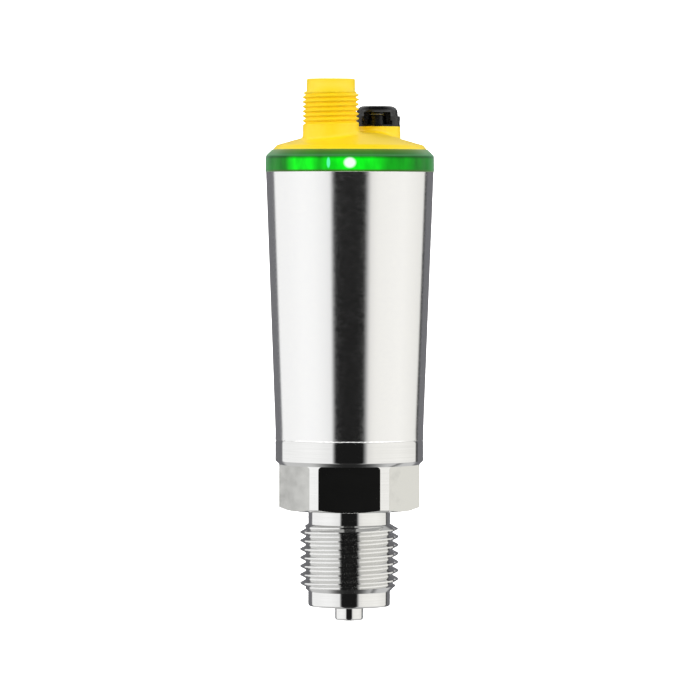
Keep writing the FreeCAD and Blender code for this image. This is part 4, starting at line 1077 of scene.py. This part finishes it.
def studio_light():
    """Surroundings by direction: tall softboxes either side, a dark gap, a lamp overhead, a grey room."""
    world = bpy.data.worlds.new("studio")
    bpy.context.scene.world = world
    world.use_nodes = True
    tree = world.node_tree
    tree.nodes.clear()
    place = add(tree, "ShaderNodeTexCoord")
    axes = add(tree, "ShaderNodeSeparateXYZ", {0: place.outputs["Generated"]})
    front = add(tree, "ShaderNodeMath", {0: axes.outputs["Y"], 1: -1.0}, operation="MULTIPLY")
    angle = add(tree, "ShaderNodeMath", {0: axes.outputs["X"], 1: front.outputs[0]}, operation="ARCTAN2")
    turn = add(tree, "ShaderNodeMapRange", {
        "Value": angle.outputs[0],
        "From Min": -math.pi,
        "From Max": math.pi,
    })
    room = add(tree, "ShaderNodeValToRGB", {"Fac": turn.outputs["Result"]}, [
        ((degrees + 180) / 360, (red, green, blue, 1)) for degrees, red, green, blue in SOFTBOXES
    ])
    # the floor is dark where the wall above it is, as it is behind the camera
    floor_shade = add(tree, "ShaderNodeMapRange", {
        "Value": room.outputs["Color"],
        "From Max": FLOOR_FULL_LIGHT,
        "To Min": NADIR_SHADE,
        "To Max": FLOOR_SHADE,
    })
    # the lamp overhead hangs in front, so it is dim behind the object
    overhead = add(tree, "ShaderNodeMapRange", {
        "Value": front.outputs[0],
        "From Min": OVERHEAD_FADE[0],
        "From Max": OVERHEAD_FADE[1],
        "To Min": BACK_SHADE,
        "To Max": OVERHEAD_SHADE,
    })
    layers = room.outputs["Color"]
    for (low, high), shade in (
        (OVERHEAD_REACH, overhead.outputs["Result"]),
        (HIGH_REACH, (HIGH_SHADE, HIGH_SHADE, HIGH_SHADE, 1)),
        (ZENITH_REACH, (ZENITH_SHADE, ZENITH_SHADE, ZENITH_SHADE, 1)),
        (FLOOR_REACH, floor_shade.outputs["Result"]),
        (NADIR_REACH, (NADIR_SHADE, NADIR_SHADE, NADIR_SHADE, 1)),
    ):
        reach = add(tree, "ShaderNodeMapRange", {
            "Value": axes.outputs["Z"],
            "From Min": low,
            "From Max": high,
        }, interpolation_type="SMOOTHSTEP")
        layer = add(tree, "ShaderNodeMix", {
            0: reach.outputs["Result"],
            6: layers,
            7: shade,
        }, data_type="RGBA")
        layers = layer.outputs[2]
    shader = add(tree, "ShaderNodeBackground", {"Color": layers, "Strength": STUDIO_STRENGTH})
    add(tree, "ShaderNodeOutputWorld", {"Surface": shader.outputs["Background"]})


def cyclorama():
    """White floor and a white wall all round, seen by the camera alone."""
    bm = bmesh.new()
    corners = [
        bm.verts.new((0, 0, FLOOR_Z)),
        bm.verts.new((WALL_RADIUS, 0, FLOOR_Z)),
        bm.verts.new((WALL_RADIUS, 0, FLOOR_Z + WALL_HEIGHT)),
    ]
    for here, after in zip(corners, corners[1:]):
        bm.edges.new((here, after))
    bmesh.ops.spin(
        bm,
        geom=bm.verts[:] + bm.edges[:],
        cent=(0, 0, 0),
        axis=(0, 0, 1),
        angle=math.tau,
        steps=WALL_STEPS,
        use_merge=True,
    )
    bmesh.ops.remove_doubles(bm, verts=bm.verts[:], dist=WALL_MERGE_DISTANCE)
    bmesh.ops.scale(bm, verts=bm.verts[:], vec=(MM, MM, MM))
    mesh = bpy.data.meshes.new("cyclorama")
    bm.to_mesh(mesh)
    bm.free()
    mesh.shade_smooth()
    backdrop = bpy.data.objects.new("cyclorama", mesh)
    bpy.context.scene.collection.objects.link(backdrop)
    # Backlit paper: plain white
    paper = surface("backlit_paper", {
        "Base Color": linear("#FFFFFF"),
        "Roughness": 1.0,
        "Emission Color": linear("#FFFFFF"),
        "Emission Strength": 1.0,
    })[0]
    mesh.materials.append(paper)
    backdrop.visible_glossy = False
    backdrop.visible_diffuse = False
    backdrop.visible_transmission = False
    backdrop.visible_shadow = False


def camera():
    """Long lens in front, level with the upper housing and aimed a little down, with a slight roll."""
    data = bpy.data.cameras.new("camera")
    data.lens = LENS
    data.sensor_width = SENSOR_WIDTH
    data.clip_end = CAMERA_REACH * MM
    eye = bpy.data.objects.new("camera", data)
    bpy.context.scene.collection.objects.link(eye)
    place = Vector(CAMERA_PLACE) * MM
    target = Vector(CAMERA_TARGET) * MM
    turn = (target - place).to_track_quat("-Z", "Y")
    roll = Euler((0, 0, math.radians(CAMERA_ROLL))).to_quaternion()
    eye.location = place
    eye.rotation_euler = (turn @ roll).to_euler()
    bpy.context.scene.camera = eye


studio_light()
cyclorama()
camera()
bpy.context.scene.view_settings.view_transform = "Standard"
